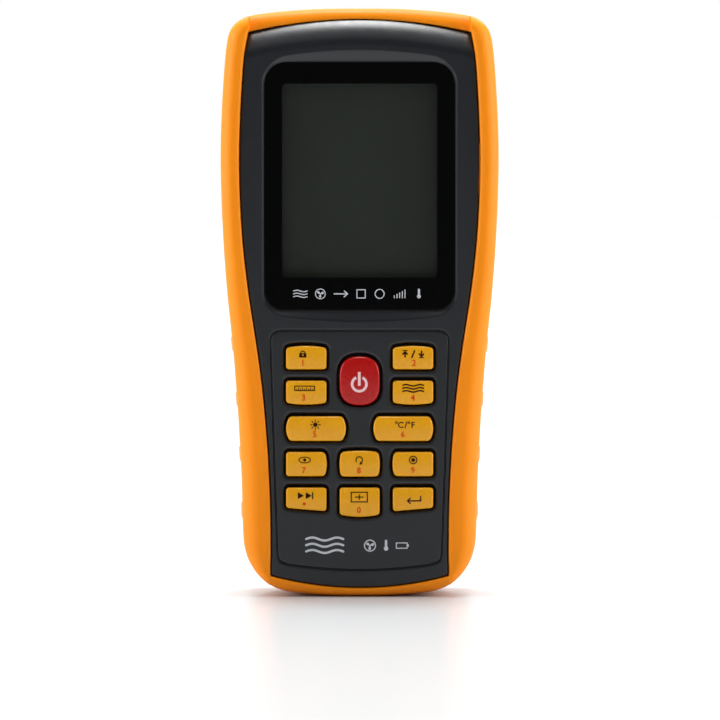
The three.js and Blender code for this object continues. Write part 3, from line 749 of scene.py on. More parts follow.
# ------------------------------------------------------------------ lens and display
lens_out = rounded_rect(0, WIN["z"], WIN["w"] + 0.26, WIN["h"] + 0.26, 6.38, 14, rb=5.38)
view = rounded_rect(0, 116.75, 43.4, 54.3, 1.1, 5)


def lens_height(P):
    d, _ = dist_to_loop(P, lens_out)
    return LENS_Y + round_drop(d, 0.4, 0.25)


lens = relief(
    "lens_border", lens_out, [view], [offset(lens_out, -d) for d in (0.08, 0.2, 0.4, 0.8)], [], lens_height, ROOT, M["lens"], wall=1.2, hole_wall=0.5,
)
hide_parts("display_window")
pane = relief("lens_pane", view, [], [], [(x, z) for x in np.linspace(-20, 20, 9) for z in np.linspace(92, 141, 11)], lens_height, ROOT, M["pane"], wall=0.05)
lo, hi = mmbox("lcd_glass")
lcd_loop = rounded_rect(0, 116.8, hi[0] - lo[0], hi[2] - lo[2], 0.6, 4)
lcd = cap("lcd_face", lcd_loop, lo[1], 0.0, 0.3, 0.2, hi[1] - lo[1], ROOT, M["lcd"])
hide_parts("lcd_glass")

# ------------------------------------------------------------------ keys
KEY_FACE = -17.95
DOME = {n: 0.5 if n == "power" else 0.34 for n in KEYS}
for n, k in KEYS.items():
    loop = key_loops[n]
    c = (loop.max(0) + loop.min(0)) / 2
    power = n == "power"
    o = cap("keycap_" + n, loop, KEY_FACE, DOME[n], 0.5 if not power else 0.8, 0.55 if not power else 0.75, 3.4, "key_" + n + "_body",
            M["key_red"] if power else M["key"])
    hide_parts("key_" + n)

# ------------------------------------------------------------------ bumper
GRIPS = [23.7, 39.6, 55.2, 70.7]
Y_RAIL, Y_TOPBAR, Y_BACKB = -17.2, -13.1, 15.5


def bumper_stations():
    """Pairs of inner and outer points, from the bottom centre up the right side to the top centre."""
    out = []
    o = resample(outer_fine, 0.55)
    for x, z in o:
        if z < 12 and x < 25.0:
            inner, kind = (x, panel_bottom(x)), "bottom"
        elif z < 20 and panel_bottom(25.0) > z - 6.2 and x >= 25.0 and z < 12.5:
            t = min(1.0, max(0.0, (z - 2.95) / (12.5 - 2.95)))
            inner, kind = (25.0, panel_bottom(25.0) + t * 6.6), "corner"
        elif z > 150 and x <= 31.2:
            inner, kind = (x, panel_top(x)), "top"
        elif z > 152:
            zi = min(z, 152 + (z - 152) * 0.62)
            zi = min(zi, panel_top(31.2) - 0.02)
            inner, kind = (float(side_half(zi)), zi), "side"
        else:
            inner, kind = (float(side_half(z)), z), "side"
        out.append((np.array(inner), np.array([x, z]), kind))
    return out


def bumper_section(inner, outer, kind, grip):
    """Points of the section from the inner front edge over the front, down the outside and round the back."""
    d = outer - inner
    w = np.linalg.norm(d)
    u = d / w
    yf = Y_RAIL
    rf = min(w * 0.86, 6.0)  # the front rolls over most of the rail's width
    rd = 5.6
    if kind == "bottom":
        yf, rf, rd = -16.6, w * 0.9, 4.9
    if kind == "corner":
        t = min(1.0, max(0.0, (outer[1] - 2.95) / 9.5))
        t = t * t * (3 - 2 * t)
        yf, rd = -16.6 - 0.6 * t, 4.9 + 0.7 * t
    if kind == "top":
        yf, rf, rd = Y_TOPBAR, w * 0.94, 3.4
    if kind in ("bottom", "top"):
        pts = [(0.0, yf + 2.6), (0.0, yf + 0.5), (0.1, yf + 0.22), (0.25, yf + 0.09), (0.4, yf + 0.03), (0.5, yf)]
        start = max(w - rf, 0.5)
    else:
        # the rail's face climbs from its inner edge to a soft crest, then rolls over to the outside
        slim = min(1.0, max(0.0, (8.5 - w) / 3.5))
        start = (0.34 - 0.05 * slim) * w
        rd -= 1.1 * slim
        pts = [(0.0, yf + 3.0)]
        for i in range(5):
            t = i / 5
            pts.append((start * (1 - math.cos(math.pi / 2 * t)) + 0.02 * i, yf + (0.75 + 0.45 * slim) * (1 - math.sin(math.pi / 2 * (t * 0.85 + 0.15)))))
    n = 12
    for i in range(1, n + 1):
        a = math.pi / 2 * i / n
        pts.append((start + (w - start) * math.sin(a), yf + rd * (1 - math.cos(a))))
    for y in (-9.5, -8.4, -6, -3, 0, 3, 6, 8.4, 9.5):
        bulge = 0.0
        if abs(y) < 9:
            bulge = grip * min(1.0, (9 - abs(y)) / 1.2)
        pts.append((w + bulge - 0.0, y))
    rb = 3.6
    for i in range(0, 8):
        a = math.pi / 2 * i / 7
        pts.append((w - rb * (1 - math.cos(a)), Y_BACKB - rb * (1 - math.sin(a))))
    pts.append((0.3, Y_BACKB))
    pts.append((0.0, Y_BACKB - 0.3))
    pts.append((0.0, Y_BACKB - 3))
    return [(min(inner[0] + u[0] * s, 38.98), y, min(max(inner[1] + u[1] * s, 0.0), 165.0)) for s, y in pts]


def half_bumper():
    secs, kinds = [], []
    for inner, outer, kind in bumper_stations():
        g = 0.0
        if kind == "side":
            for z in GRIPS:
                g = max(g, 0.45 * min(1.0, max(0.0, 2.35 - abs(outer[1] - z)) / 0.55))
        sec = bumper_section(inner, outer, kind, g)
        secs.append(sec)
        kinds.append(kind)
    m = max(len(s) for s in secs)
    fixed = []
    for s in secs:
        if len(s) < m:
            s = s[:4] + [s[3]] * (m - len(s)) + s[4:]
        fixed.append(s)
    return fixed, kinds, m


secs, kinds, m = half_bumper()
verts, faces = [], []
for side in (1, -1):
    start = len(verts)
    for s in secs:
        verts += [(side * x, y, z) for x, y, z in s]
    for k in range(len(secs) - 1):
        for i in range(m):
            j = (i + 1) % m
            q = (start + k * m + i, start + k * m + j, start + (k + 1) * m + j, start + (k + 1) * m + i)
            faces.append(q if side == 1 else q[::-1])
bumper = make_object("bumper_skin", verts, faces, None, M["bumper"])
weld(bumper, 2e-6)

# smooth directions of the skin, worked out along and across the rows of sections
grid_p = np.array(secs, float)
top_from = kinds.index("top") if "top" in kinds else len(kinds)
low_until = max(i for i, k in enumerate(kinds) if k == "bottom") + 1


def skin_normals(g):
    across = np.zeros_like(g)
    for i in range(g.shape[1]):
        lo_, hi_ = g[:, i - 1], g[:, (i + 1) % g.shape[1]]
        across[:, i] = hi_ - lo_
    along = np.zeros_like(g)
    w_ = 3
    for k in range(len(g)):
        run = [r for r in ((0, low_until), (low_until, top_from), (top_from, len(g))) if r[0] <= k < r[1]][0]
        if k < top_from:
            run = (0, top_from)
        a_, b_ = max(run[0], k - w_), min(run[1] - 1, k + w_)
        along[k] = g[b_] - g[a_]
    along[0] = along[0] * [1, 0, 0]
    along[-1] = along[-1] * [1, 0, 0]
    n_ = np.cross(across, along)
    return n_ / (np.linalg.norm(n_, axis=2)[..., None] + 1e-12)


grid_n = skin_normals(grid_p)


def cutter(loop, lo, hi, axis):
    """A closed prism: loop is in the plane across axis, run from lo to hi along it."""
    n = len(loop)
    put = {"z": lambda a, b, t: (a, b, t), "x": lambda a, b, t: (t, a, b), "y": lambda a, b, t: (a, t, b)}[axis]
    v = [put(a, b, lo) for a, b in loop] + [put(a, b, hi) for a, b in loop]
    f = [(i, (i + 1) % n, n + (i + 1) % n, n + i) for i in range(n)] + [tuple(range(n))[::-1], tuple(range(n, 2 * n))]
    o = make_object("cutter", v, f, None, None, smooth=False)
    weld(o, 1e-7)
    return o


def cut(obj, tool):
    mod = obj.modifiers.new("cut", "BOOLEAN")
    mod.operation = "DIFFERENCE"
    mod.solver = "EXACT"
    mod.object = tool
    dg = bpy.context.evaluated_depsgraph_get()
    me = bpy.data.meshes.new_from_object(obj.evaluated_get(dg))
    obj.modifiers.clear()
    obj.data = me
    bpy.data.objects.remove(tool)


lo, hi = mmbox("probe_socket_shell")
SOCK = ((lo[0] + hi[0]) / 2, (lo[1] + hi[1]) / 2)
circle = lambda x, z, r, n=72: np.array([[x + r * math.cos(2 * math.pi * i / n), z + r * math.sin(2 * math.pi * i / n)] for i in range(n)])
cut(bumper, cutter(circle(*SOCK, 7.55, 96), 150, 172, "z"))
lo, hi = mmbox("usb_socket")
USB = ((lo[1] + hi[1]) / 2, (lo[2] + hi[2]) / 2, hi[0])
cut(bumper, cutter(rounded_rect(-4.35, USB[1], 9.3, 14.0, 1.6, 8), 20, 50, "x"))
bumper.data.polygons.foreach_set("use_smooth", [True] * len(bumper.data.polygons))
bumper.data.set_sharp_from_angle(angle=math.radians(38))
shade_tree = KDTree(2 * grid_p.shape[0] * grid_p.shape[1])
flat_p = np.vstack([grid_p.reshape(-1, 3), grid_p.reshape(-1, 3) * [-1, 1, 1]])
flat_n = np.vstack([grid_n.reshape(-1, 3), grid_n.reshape(-1, 3) * [-1, 1, 1]])
for i, v in enumerate(flat_p):
    shade_tree.insert(Vector(v), i)
shade_tree.balance()
loop_n = []
bm_me = bumper.data
for poly in bm_me.polygons:
    fn = np.array(poly.normal)
    for li in poly.loop_indices:
        co = np.array(bm_me.vertices[bm_me.loops[li].vertex_index].co) / MM
        near = shade_tree.find_n(Vector(co), 6)
        acc, wsum = np.zeros(3), 0.0
        for _, idx, dist in near:
            n_ = flat_n[idx]
            if abs(n_ @ fn) < 0.62 or n_ @ fn < 0:
                continue
            w_ = 1.0 / (dist + 0.02) ** 2
            acc += n_ * w_
            wsum += w_
        loop_n.append(tuple(acc / np.linalg.norm(acc)) if wsum > 0 else tuple(fn))
bm_me.normals_split_custom_set(loop_n)
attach(bumper, ROOT)
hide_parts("bumper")

# ------------------------------------------------------------------ prints
def stroke(a, b, w, n=5):
    a, b = np.array(a, float), np.array(b, float)
    t = math.atan2(*(b - a)[::-1])
    pts = [b + w / 2 * np.array([math.cos(t - math.pi / 2 + math.pi * i / n), math.sin(t - math.pi / 2 + math.pi * i / n)]) for i in range(n + 1)]
    pts += [a + w / 2 * np.array([math.cos(t + math.pi / 2 + math.pi * i / n), math.sin(t + math.pi / 2 + math.pi * i / n)]) for i in range(n + 1)]
    return np.array(pts)


def path(points, w):
    return [stroke(a, b, w) for a, b in zip(points[:-1], points[1:])]


def disc(x, z, r, n=28, ry=None):
    ry = ry or r
    return np.array([[x + r * math.cos(2 * math.pi * i / n), z + ry * math.sin(2 * math.pi * i / n)] for i in range(n)])


def band(x, z, r, w, a0, a1, n=24):
    o = [[x + (r + w / 2) * math.cos(math.radians(a0 + (a1 - a0) * i / n)), z + (r + w / 2) * math.sin(math.radians(a0 + (a1 - a0) * i / n))] for i in range(n + 1)]
    i_ = [[x + (r - w / 2) * math.cos(math.radians(a1 + (a0 - a1) * i / n)), z + (r - w / 2) * math.sin(math.radians(a1 + (a0 - a1) * i / n))] for i in range(n + 1)]
    return np.array(o + i_)


def rect(x0, x1, z0, z1):
    return np.array([[x0, z0], [x1, z0], [x1, z1], [x0, z1]], float)


def wave(x0, x1, z, amp, w, turns=1.5, n=16):
    pts = [(x0 + (x1 - x0) * i / n, z + amp * math.sin(2 * math.pi * turns * i / n)) for i in range(n + 1)]
    return path(pts, w)


def printed(name, add, sub, height, body, mat, lift=0.04, facing=-1, at=(0, 0), scale=1.0):
    """Ink: the union of the add loops less the sub loops, laid on a surface."""
    tr = lambda l: densify(np.asarray(l, float) * scale + np.array(at), 0.5)
    add, sub = [tr(l) for l in add], [tr(l) for l in sub]

    def keep(c):
        k = np.zeros(len(c), bool)
        for l in add:
            k |= signed(c, l) < 0
        for l in sub:
            k &= signed(c, l) > 0
        return k

    v, f = triangulate(add + sub, [], keep)
    y = height(v) + facing * lift
    a, b, c = v[f[:, 0]], v[f[:, 1]], v[f[:, 2]]
    ccw = np.cross(b - a, c - a) > 0
    faces = [tuple(t if w == (facing < 0) else t[::-1]) for t, w in zip(f, ccw)]
    return make_object(name, np.column_stack([v[:, 0], y, v[:, 1]]), faces, body, mat)


def lettered(name, text, size, cx, cz, height, body, mat, lift=0.04, stretch=1.0, bold=0.018):
    """A number or unit sign, centred, size millimetres tall, laid on a surface that faces -Y."""
    cu = bpy.data.curves.new(name, "FONT")
    cu.body = text
    cu.resolution_u = 4
    cu.offset = bold
    tmp = bpy.data.objects.new(name + "_tmp", cu)
    bpy.context.scene.collection.objects.link(tmp)
    dg = bpy.context.evaluated_depsgraph_get()
    me = bpy.data.meshes.new_from_object(tmp.evaluated_get(dg))
    v = np.array([q.co[:2] for q in me.vertices])
    f = [tuple(q.vertices) for q in me.polygons]
    bpy.data.objects.remove(tmp)
    lo, hi = v.min(0), v.max(0)
    v = (v - (lo + hi) / 2) * (size / (hi[1] - lo[1])) * [stretch, 1] + [cx, cz]
    return make_object(name, np.column_stack([v[:, 0], height(v) - lift, v[:, 1]]), f, body, mat)


def key_height(n):
    loop = key_loops[n]
    c, half = (loop.max(0) + loop.min(0)) / 2, np.ptp(loop, axis=0) / 2
    return lambda P: KEY_FACE + DOME[n] * (((np.asarray(P, float) - c) / half) ** 2).sum(1) / 1.6


W = 0.42
ICON = {
    "hold": ([rect(-1.0, 1.0, -0.95, 0.25), band(0, 0.2, 0.62, 0.3, 0, 180)] + [rect(0.47, 0.77, 0.0, 0.3), rect(-0.77, -0.47, 0.0, 0.3)], [disc(0, -0.3, 0.24, 14)]),
    "max_min": (path([(-2.3, -0.8), (-2.3, 0.55)], W) + path([(-2.9, 0.0), (-2.3, 0.62), (-1.7, 0.0)], W) + [rect(-3.0, -1.6, 0.85, 1.12)]
                + path([(2.3, 0.8), (2.3, -0.55)], W) + path([(2.9, 0.0), (2.3, -0.62), (1.7, 0.0)], W) + [rect(1.6, 3.0, -1.12, -0.85)] + [stroke((-0.35, -0.9), (0.35, 0.9), W)], []),
    "unit": ([rect(-2.9, 2.9, -0.75, 0.75)], [rect(-2.62, 2.62, -0.48, 0.48)]),
    "velocity_flow": (wave(-2.9, 2.9, 0.85, 0.2, 0.4) + wave(-2.9, 2.9, 0, 0.2, 0.4) + wave(-2.9, 2.9, -0.85, 0.2, 0.4), []),
    "light": ([disc(0, 0, 0.62)] + [stroke((0.95 * math.cos(a), 0.95 * math.sin(a)), (1.35 * math.cos(a), 1.35 * math.sin(a)), 0.26) for a in [i * math.pi / 4 for i in range(8)]], []),
    "read": ([disc(0, 0, 1.75, 32, 0.95), disc(0, 0, 0.45, 18)], []),
    "reset": ([band(0, 0, 0.92, 0.32, -60, 220)] + [np.array([[0.05, -1.35], [0.95, -1.1], [0.35, -0.35]])], []),
    "record": ([disc(0, 0, 1.15)], []),
    "start_next": ([np.array([[-2.1, -0.95], [-0.4, 0], [-2.1, 0.95]]), np.array([[0.1, -0.95], [1.8, 0], [0.1, 0.95]]), rect(1.85, 2.2, -0.95, 0.95)], []),
    "sample_area": ([rect(-2.4, 2.4, -1.5, 1.5)], [rect(-2.1, 2.1, -1.2, 1.2)]),
    "option_enter": (path([(2.4, 0.9), (2.4, -0.35), (-1.2, -0.35)], 0.36) + path([(-0.5, 0.4), (-1.3, -0.35), (-0.5, -1.1)], 0.36), []),
}
READ_RING = ([disc(0, 0, 1.75, 32, 0.95)], [disc(0, 0, 1.45, 32, 0.68)])
PLACE = {  # where each mark and number sits
    "hold": (-15.9, 68.3), "max_min": (15.0, 68.3), "unit": (-15.4, 58.7), "velocity_flow": (15.0, 58.7), "light": (-12.4, 48.5),
    "read": (-15.4, 38.6), "reset": (-0.1, 38.6), "record": (15.0, 38.6), "start_next": (-15.2, 28.6), "sample_area": (-0.1, 28.2), "option_enter": (14.7, 27.5),
}
NUMBER = {
    "hold": ("1", -15.9, 65.85), "max_min": ("2", 15.2, 65.85), "unit": ("3", -15.7, 56.1), "velocity_flow": ("4", 14.9, 56.1), "light": ("5", -12.6, 45.85),
    "temperature_unit": ("6", 12.1, 45.85), "read": ("7", -15.6, 35.75), "reset": ("8", -0.2, 35.7), "record": ("9", 14.9, 35.75), "sample_area": ("0", -0.2, 24.6),
}
for n, (add, sub) in ICON.items():
    body = f"key_{n}_body"
    if n == "read":
        printed("mark_read_rim", *READ_RING, key_height(n), body, M["print_dark"], at=PLACE[n])
        add, sub = [disc(0, 0, 0.45, 18)], []
    if n == "record":
        add, sub = [disc(0, 0, 1.2)], [disc(0, 0, 0.9)]
        printed("mark_record_dot", [disc(0, 0, 0.55)], [], key_height(n), body, M["print_dark"], at=PLACE[n])
    if n == "unit":
        printed("mark_unit_ticks", [rect(x - 0.11, x + 0.11, -0.5, -0.5 + (0.75 if i % 2 else 0.45)) for i, x in enumerate(np.linspace(-2.2, 2.2, 9))], [], key_height(n), body, M["print_dark"], at=PLACE[n])
    if n == "sample_area":
        printed("mark_area_cross", [rect(-0.15, 0.15, -0.75, 0.75), rect(-1.2, 1.2, -0.15, 0.15)], [], key_height(n), body, M["print_dark"], at=PLACE[n])
    printed("mark_" + n, add, sub, key_height(n), body, M["print_dark"], at=PLACE[n])
for n, (t, x, z) in NUMBER.items():
    lettered("number_" + n, t, 1.75, x, z, key_height(n), f"key_{n}_body", M["print_red"], stretch=0.92)
printed("number_dot", [disc(0, 0, 0.42, 18)], [], key_height("start_next"), "key_start_next_body", M["print_red"], at=(-15.5, 26.3))
hk = key_height("temperature_unit")
for i, (t, x) in enumerate((("C", 11.5), ("F", 15.0))):
    lettered(f"mark_degree_{i}", t, 1.7, x, 48.45, hk, "key_temperature_unit_body", M["print_dark"])
    printed(f"mark_degree_ring_{i}", [disc(0, 0, 0.36, 16)], [disc(0, 0, 0.16, 12)], hk, "key_temperature_unit_body", M["print_dark"], at=(x - 1.2, 49.1))
printed("mark_degree_slash", [stroke((-0.25, -0.85), (0.25, 0.85), 0.28)], [], hk, "key_temperature_unit_body", M["print_dark"], at=(12.95, 48.45))
printed("mark_power", [band(0, 0, 2.0, 0.74, 116, 424, 40)], [], key_height("power"), "key_power_body", M["print_pink"], at=(-0.1, 59.9))
printed("mark_power_bar", [rounded_rect(0, 1.45, 0.78, 3.9, 0.12, 3)], [], key_height("power"), "key_power_body", M["print_pink"], at=(-0.1, 59.9))


def face_of(height_fn):
    return lambda P: height_fn(np.asarray(P, float))


# a row of plain signs under the display
def fan(r=1.2):
    add = [disc(0, 0, 0.24, 14)]
    for k in range(3):
        a = 2 * math.pi * k / 3 + 0.5
        c, s_ = math.cos(a), math.sin(a)
        blade = [(0.1, -0.05), (0.55, -0.42), (1.05, -0.35), (1.15, 0.1), (0.75, 0.3), (0.3, 0.2)]
        add.append(np.array([[x * c - z * s_, x * s_ + z * c] for x, z in blade]) * r)
    return add


def thermometer():
    return [disc(0, -0.8, 0.55, 18), rounded_rect(0, 0.25, 0.6, 2.2, 0.29, 4)]


def battery_sign():
    return [rect(-1.5, 1.5, -0.8, 0.8), rect(1.5, 1.8, -0.35, 0.35)], [rect(-1.25, 1.25, -0.55, 0.55)]


WINDY = wave(-1.9, 1.9, 0.8, 0.2, 0.3, 1.0) + wave(-1.9, 1.9, 0, 0.2, 0.3, 1.0) + wave(-1.9, 1.9, -0.8, 0.2, 0.3, 1.0)
lens_at = face_of(lens_height)
z0 = 85.1
printed("sign_wind", WINDY, [], lens_at, ROOT, M["print_light"], at=(-16.6, z0))
printed("sign_fan_rim", [disc(0, 0, 1.5, 36)], [disc(0, 0, 1.24, 36)], lens_at, ROOT, M["print_light"], at=(-11.0, z0))
printed("sign_fan", fan(0.95), [], lens_at, ROOT, M["print_light"], at=(-11.0, z0))
printed("sign_arrow", path([(-1.9, 0), (1.7, 0)], 0.34) + path([(0.9, 0.8), (1.8, 0), (0.9, -0.8)], 0.34), [], lens_at, ROOT, M["print_light"], at=(-5.2, z0))
printed("sign_duct_square", [rect(-1.3, 1.3, -1.3, 1.3)], [rect(-1.02, 1.02, -1.02, 1.02)], lens_at, ROOT, M["print_light"], at=(0.4, z0))
printed("sign_duct_round", [disc(0, 0, 1.4, 36)], [disc(0, 0, 1.12, 36)], lens_at, ROOT, M["print_light"], at=(5.6, z0))
printed("sign_scale", [rect(x - 0.14, x + 0.14, -1.2, -1.2 + h) for x, h in zip((-1.5, -0.75, 0, 0.75, 1.5), (0.8, 1.2, 1.6, 2.0, 2.4))], [], lens_at, ROOT, M["print_light"], at=(11.2, z0))
printed("sign_thermometer", thermometer(), [], lens_at, ROOT, M["print_light"], at=(16.6, z0 + 0.1))
# plain signs at the foot of the panel
front_at = face_of(front_height)
zf = 14.5
printed("sign_foot_wind", wave(-5.2, 5.2, 1.75, 0.42, 0.62, 1.5, 24) + wave(-5.2, 5.2, 0, 0.42, 0.62, 1.5, 24) + wave(-5.2, 5.2, -1.75, 0.42, 0.62, 1.5, 24), [], front_at, ROOT, M["print_light"], at=(-9.8, zf + 0.1), lift=0.03)
add, sub = battery_sign()
printed("sign_foot_fan", fan(1.1), [], front_at, ROOT, M["print_light"], at=(2.9, zf), lift=0.03)
printed("sign_foot_fan_rim", [disc(0, 0, 1.7, 40)], [disc(0, 0, 1.38, 40)], front_at, ROOT, M["print_light"], at=(2.9, zf), lift=0.03)
printed("sign_foot_thermometer", thermometer(), [], front_at, ROOT, M["print_light"], at=(7.4, zf + 0.1), scale=1.15, lift=0.03)
printed("sign_foot_battery", add, sub, front_at, ROOT, M["print_light"], at=(11.8, zf), scale=1.1, lift=0.03)

# ------------------------------------------------------------------ back cover
Y_BACK = 18.0
WELLS = [(19.1, 14.0), (-19.1, 14.0), (26.3, 153.2), (-26.3, 153.2)]
well_loops = [circle(x, z, 2.75, 40) for x, z in WELLS]


def door_opening(d=0.0):
    """The battery door's opening, with the notch its tongue drops into, grown by d."""
    x, xn, z0_, z1, z2, r = 15.3 + d, 4.2 + d, 9.5 - d, 74.5 + d, 77.2 + d, 1.1
    arc = lambda cx, cz, a0, rr, n=5: [[cx + rr * math.cos(math.radians(a0 + 90 * i / n)), cz + rr * math.sin(math.radians(a0 + 90 * i / n))] for i in range(n + 1)]
    pts = arc(x - r, z0_ + r, -90, r) + arc(x - r, z1 - r, 0, r) + [[xn, z1]] + arc(xn - 0.8, z2 - 0.8, 0, 0.8) + arc(-xn + 0.8, z2 - 0.8, 90, 0.8)
    pts += [[-xn, z1]] + arc(-x + r, z1 - r, 90, r) + arc(-x + r, z0_ + r, 180, r)
    return np.array(pts)


opening = densify(door_opening(), 1.2)
label_recess = densify(rounded_rect(0, 108, 40.6, 42.6, 2.3, 6), 2.0)


def back_height(P):
    P = np.asarray(P, float)
    edge, _ = dist_to_loop(P, cover_loop)
    y = Y_BACK - round_drop(edge, 3.2, 2.3)
    near = (np.abs(P[:, 0]) < 22) & (P[:, 1] > 85) & (P[:, 1] < 131)
    if near.any():
        d = signed(P[near], label_recess)
        y[near] -= 0.5 * np.clip(0.5 - d / 0.12, 0, 1)
    for loop, x, z in [(l, *w) for l, w in zip(well_loops, WELLS)]:
        near = (np.abs(P - [x, z]) < 4.2).all(1)
        if near.any():
            r = np.hypot(P[near, 0] - x, P[near, 1] - z) - 2.75
            y[near] -= round_drop(np.maximum(r, 0), 0.55, 0.4)
    near = (np.abs(P[:, 0]) < 17.5) & (P[:, 1] < 79.5) & (P[:, 1] > 7.5)
    if near.any():
        d, inside = dist_to_loop(P[near], opening)
        y[near] -= round_drop(np.where(inside, 0, d), 0.4, 0.3)
    return y


rings = [offset(cover_loop, -d) for d in (0.03, 0.1, 0.22, 0.4, 0.65, 0.95, 1.35, 1.8, 2.4, 3.2)]
rings += [offset(label_recess, d) for d in (-0.3, -0.07, 0.07, 0.3)]
for l in well_loops:
    c = l.mean(0)
    for d in (0.05, 0.14, 0.28, 0.55):
        rings.append(c + (l - c) * (1 + d / 2.75))
rings += [offset(opening, d) for d in (0.05, 0.14, 0.26, 0.42)]
grid = np.array([(x, z) for z in np.arange(5, 160, 3.0) for x in np.arange(-33, 33.1, 3.0)])
ok = signed(grid, cover_loop) < -3.6
ok &= dist_to_loop(grid, label_recess)[0] > 0.8
ok &= signed(grid, opening) > 0.9
for w in WELLS:
    ok &= np.hypot(grid[:, 0] - w[0], grid[:, 1] - w[1]) > 3.9
back = relief("rear_shell", cover_loop, [opening, *well_loops], rings, list(map(tuple, grid[ok])), back_height, ROOT, M["housing"], facing=1, wall=9.0, hole_wall=[2.1, 15.6, 15.6, 15.6, 15.6])
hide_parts("rear_cover")

# battery box: ledge under the door, four walls and a floor
box_loop = densify(rounded_rect(0, 42.5, 28.2, 60.2, 1.6, 5), 3.0)
flat = lambda level: (lambda P: np.full(len(P), float(level)))
corner_pts = rounded_rect(0, 42.5, 28.2, 60.2, 1.6, 5)
top_notch = [[4.3, 72.6], [4.3, 77.0], [-4.3, 77.0], [-4.3, 72.6]]
hook_notches = [[-11.7, 12.4], [-11.7, 9.45], [-6.3, 9.45], [-6.3, 12.4], [6.3, 12.4], [6.3, 9.45], [11.7, 9.45], [11.7, 12.4]]
ledge_hole = densify(np.array([*corner_pts[:12], *top_notch, *corner_pts[12:], *hook_notches]), 2.5)
ledge = relief("battery_ledge", densify(door_opening(0.25), 1.5), [ledge_hole], [], [], flat(15.6), ROOT, M["housing_dark"], facing=1, wall=0.6, hole_wall=0.55)
walls = relief("battery_box_walls", offset(box_loop, 0.3), [box_loop], [], [], flat(15.0), ROOT, M["housing_dark"], facing=1, wall=18.2, hole_wall=18.4)
box_floor = relief("battery_box_floor", offset(box_loop, 0.2), [], [], [(x, z) for x in (-9, 0, 9) for z in (20, 32, 44, 56, 68)], flat(-3.35), ROOT, M["housing_dark"], facing=1, wall=0.4)


def block(name, x0, x1, y0, y1, z0_, z1, r, body, mat, segments=3):
    """A moulded block with its edges rounded to r."""
    bm = bmesh.new()
    bmesh.ops.create_cube(bm, size=1.0)
    for v in bm.verts:
        v.co = Vector(((x0 + x1) / 2 + v.co.x * (x1 - x0), (y0 + y1) / 2 + v.co.y * (y1 - y0), (z0_ + z1) / 2 + v.co.z * (z1 - z0_))) * MM
    bmesh.ops.bevel(bm, geom=bm.edges[:], offset=r * MM, segments=segments, profile=0.5, affect="EDGES")
    bmesh.ops.recalc_face_normals(bm, faces=bm.faces)
    me = bpy.data.meshes.new(name)
    bm.to_mesh(me)
    bm.free()
    me.polygons.foreach_set("use_smooth", [True] * len(me.polygons))
    o = bpy.data.objects.new(name, me)
    bpy.context.scene.collection.objects.link(o)
    me.materials.append(mat)
    me.set_sharp_from_angle(angle=math.radians(40))
    if body:
        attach(o, body)
    return o


# ------------------------------------------------------------------ battery door
DOOR = "battery_door_body"
door_loop = densify(rounded_rect(0, 42.0, 30.0, 64.4, 0.9, 5), 1.5)
thumb = densify(rounded_rect(0, 68.6, 14.0, 5.2, 2.5, 8), 0.8)


def door_height(P):
    P = np.asarray(P, float)
    d, _ = dist_to_loop(P, door_loop)
    y = Y_BACK - round_drop(d, 0.4, 0.3)
    near = (np.abs(P[:, 0]) < 9) & (np.abs(P[:, 1] - 68.6) < 4.5)
    if near.any():
        q = P[near]
        s_ = signed(q, thumb)
        bowl = 0.8 * np.clip(-s_ / 1.1, 0, 1) ** 0.6
        ribs = 0.16 * (0.5 + 0.5 * np.cos(2 * math.pi * (q[:, 1] - 68.6) / 1.3)) * np.clip((-s_ - 0.9) / 0.6, 0, 1)
        y[near] -= bowl - ribs
    # five shallow ribs across the door, for the thumb to push against
    for k in range(5):
        zc = 60.2 - 2.6 * k
        near = (np.abs(P[:, 1] - zc) < 1.0) & (np.abs(P[:, 0]) < 8.6)
        if near.any():
            q = P[near]
            y[near] -= 0.35 * np.exp(-(((q[:, 1] - zc) / 0.42) ** 2)) * np.clip((7.6 - 0.7 * k - np.abs(q[:, 0])) / 0.5, 0, 1)
    return y


rings = [offset(door_loop, -d) for d in (0.04, 0.12, 0.25, 0.42)] + [offset(thumb, -d) for d in (-0.05, 0.0, 0.12, 0.3, 0.55, 0.85, 1.1)]
pts = [(x, z) for z in np.arange(65.9, 71.4, 0.22) for x in np.arange(-6.6, 6.7, 0.7)]
pts = [q for q, s_ in zip(pts, signed(np.array(pts), thumb)) if s_ < -1.2]
for k in range(5):
    zc = 60.2 - 2.6 * k
    for dz in (-0.9, -0.6, -0.4, -0.2, 0, 0.2, 0.4, 0.6, 0.9):
        pts += [(x, zc + dz) for x in [*np.linspace(-8.4, -4.4, 17), *np.arange(-4, 4.1, 1.0), *np.linspace(4.4, 8.4, 17)]]
pts += [(x, z) for z in np.arange(12, 46, 4.0) for x in np.arange(-13, 13.1, 4.3)] + [(x, z) for z in (52, 58, 64, 71) for x in (-12.5, 12.5)]
door = relief("battery_door_face", door_loop, [], rings, pts, door_height, DOOR, M["housing"], facing=1, wall=2.0)
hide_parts("battery_door")
inner_door = relief("battery_door_inside", door_loop, [], [], [(x, z) for x in (-10, 0, 10) for z in range(14, 74, 8)], flat(15.8), DOOR, M["housing_dark"], facing=-1, wall=0.3)
for i, x in enumerate((-9, 9)):
    for part, args in (("hook", (14.2, 16.0, 9.8, 12.0)), ("hook_lip", (14.2, 15.4, 7.8, 10.8))):
        b_ = block(f"door_{part}_{i}", x - 2.3, x + 2.3, *args, 0.25, DOOR, M["housing_dark"])
tongue = block("door_tongue", -3.8, 3.8, 14.3, 17.0, 72.6, 76.8, 0.4, DOOR, M["housing"])

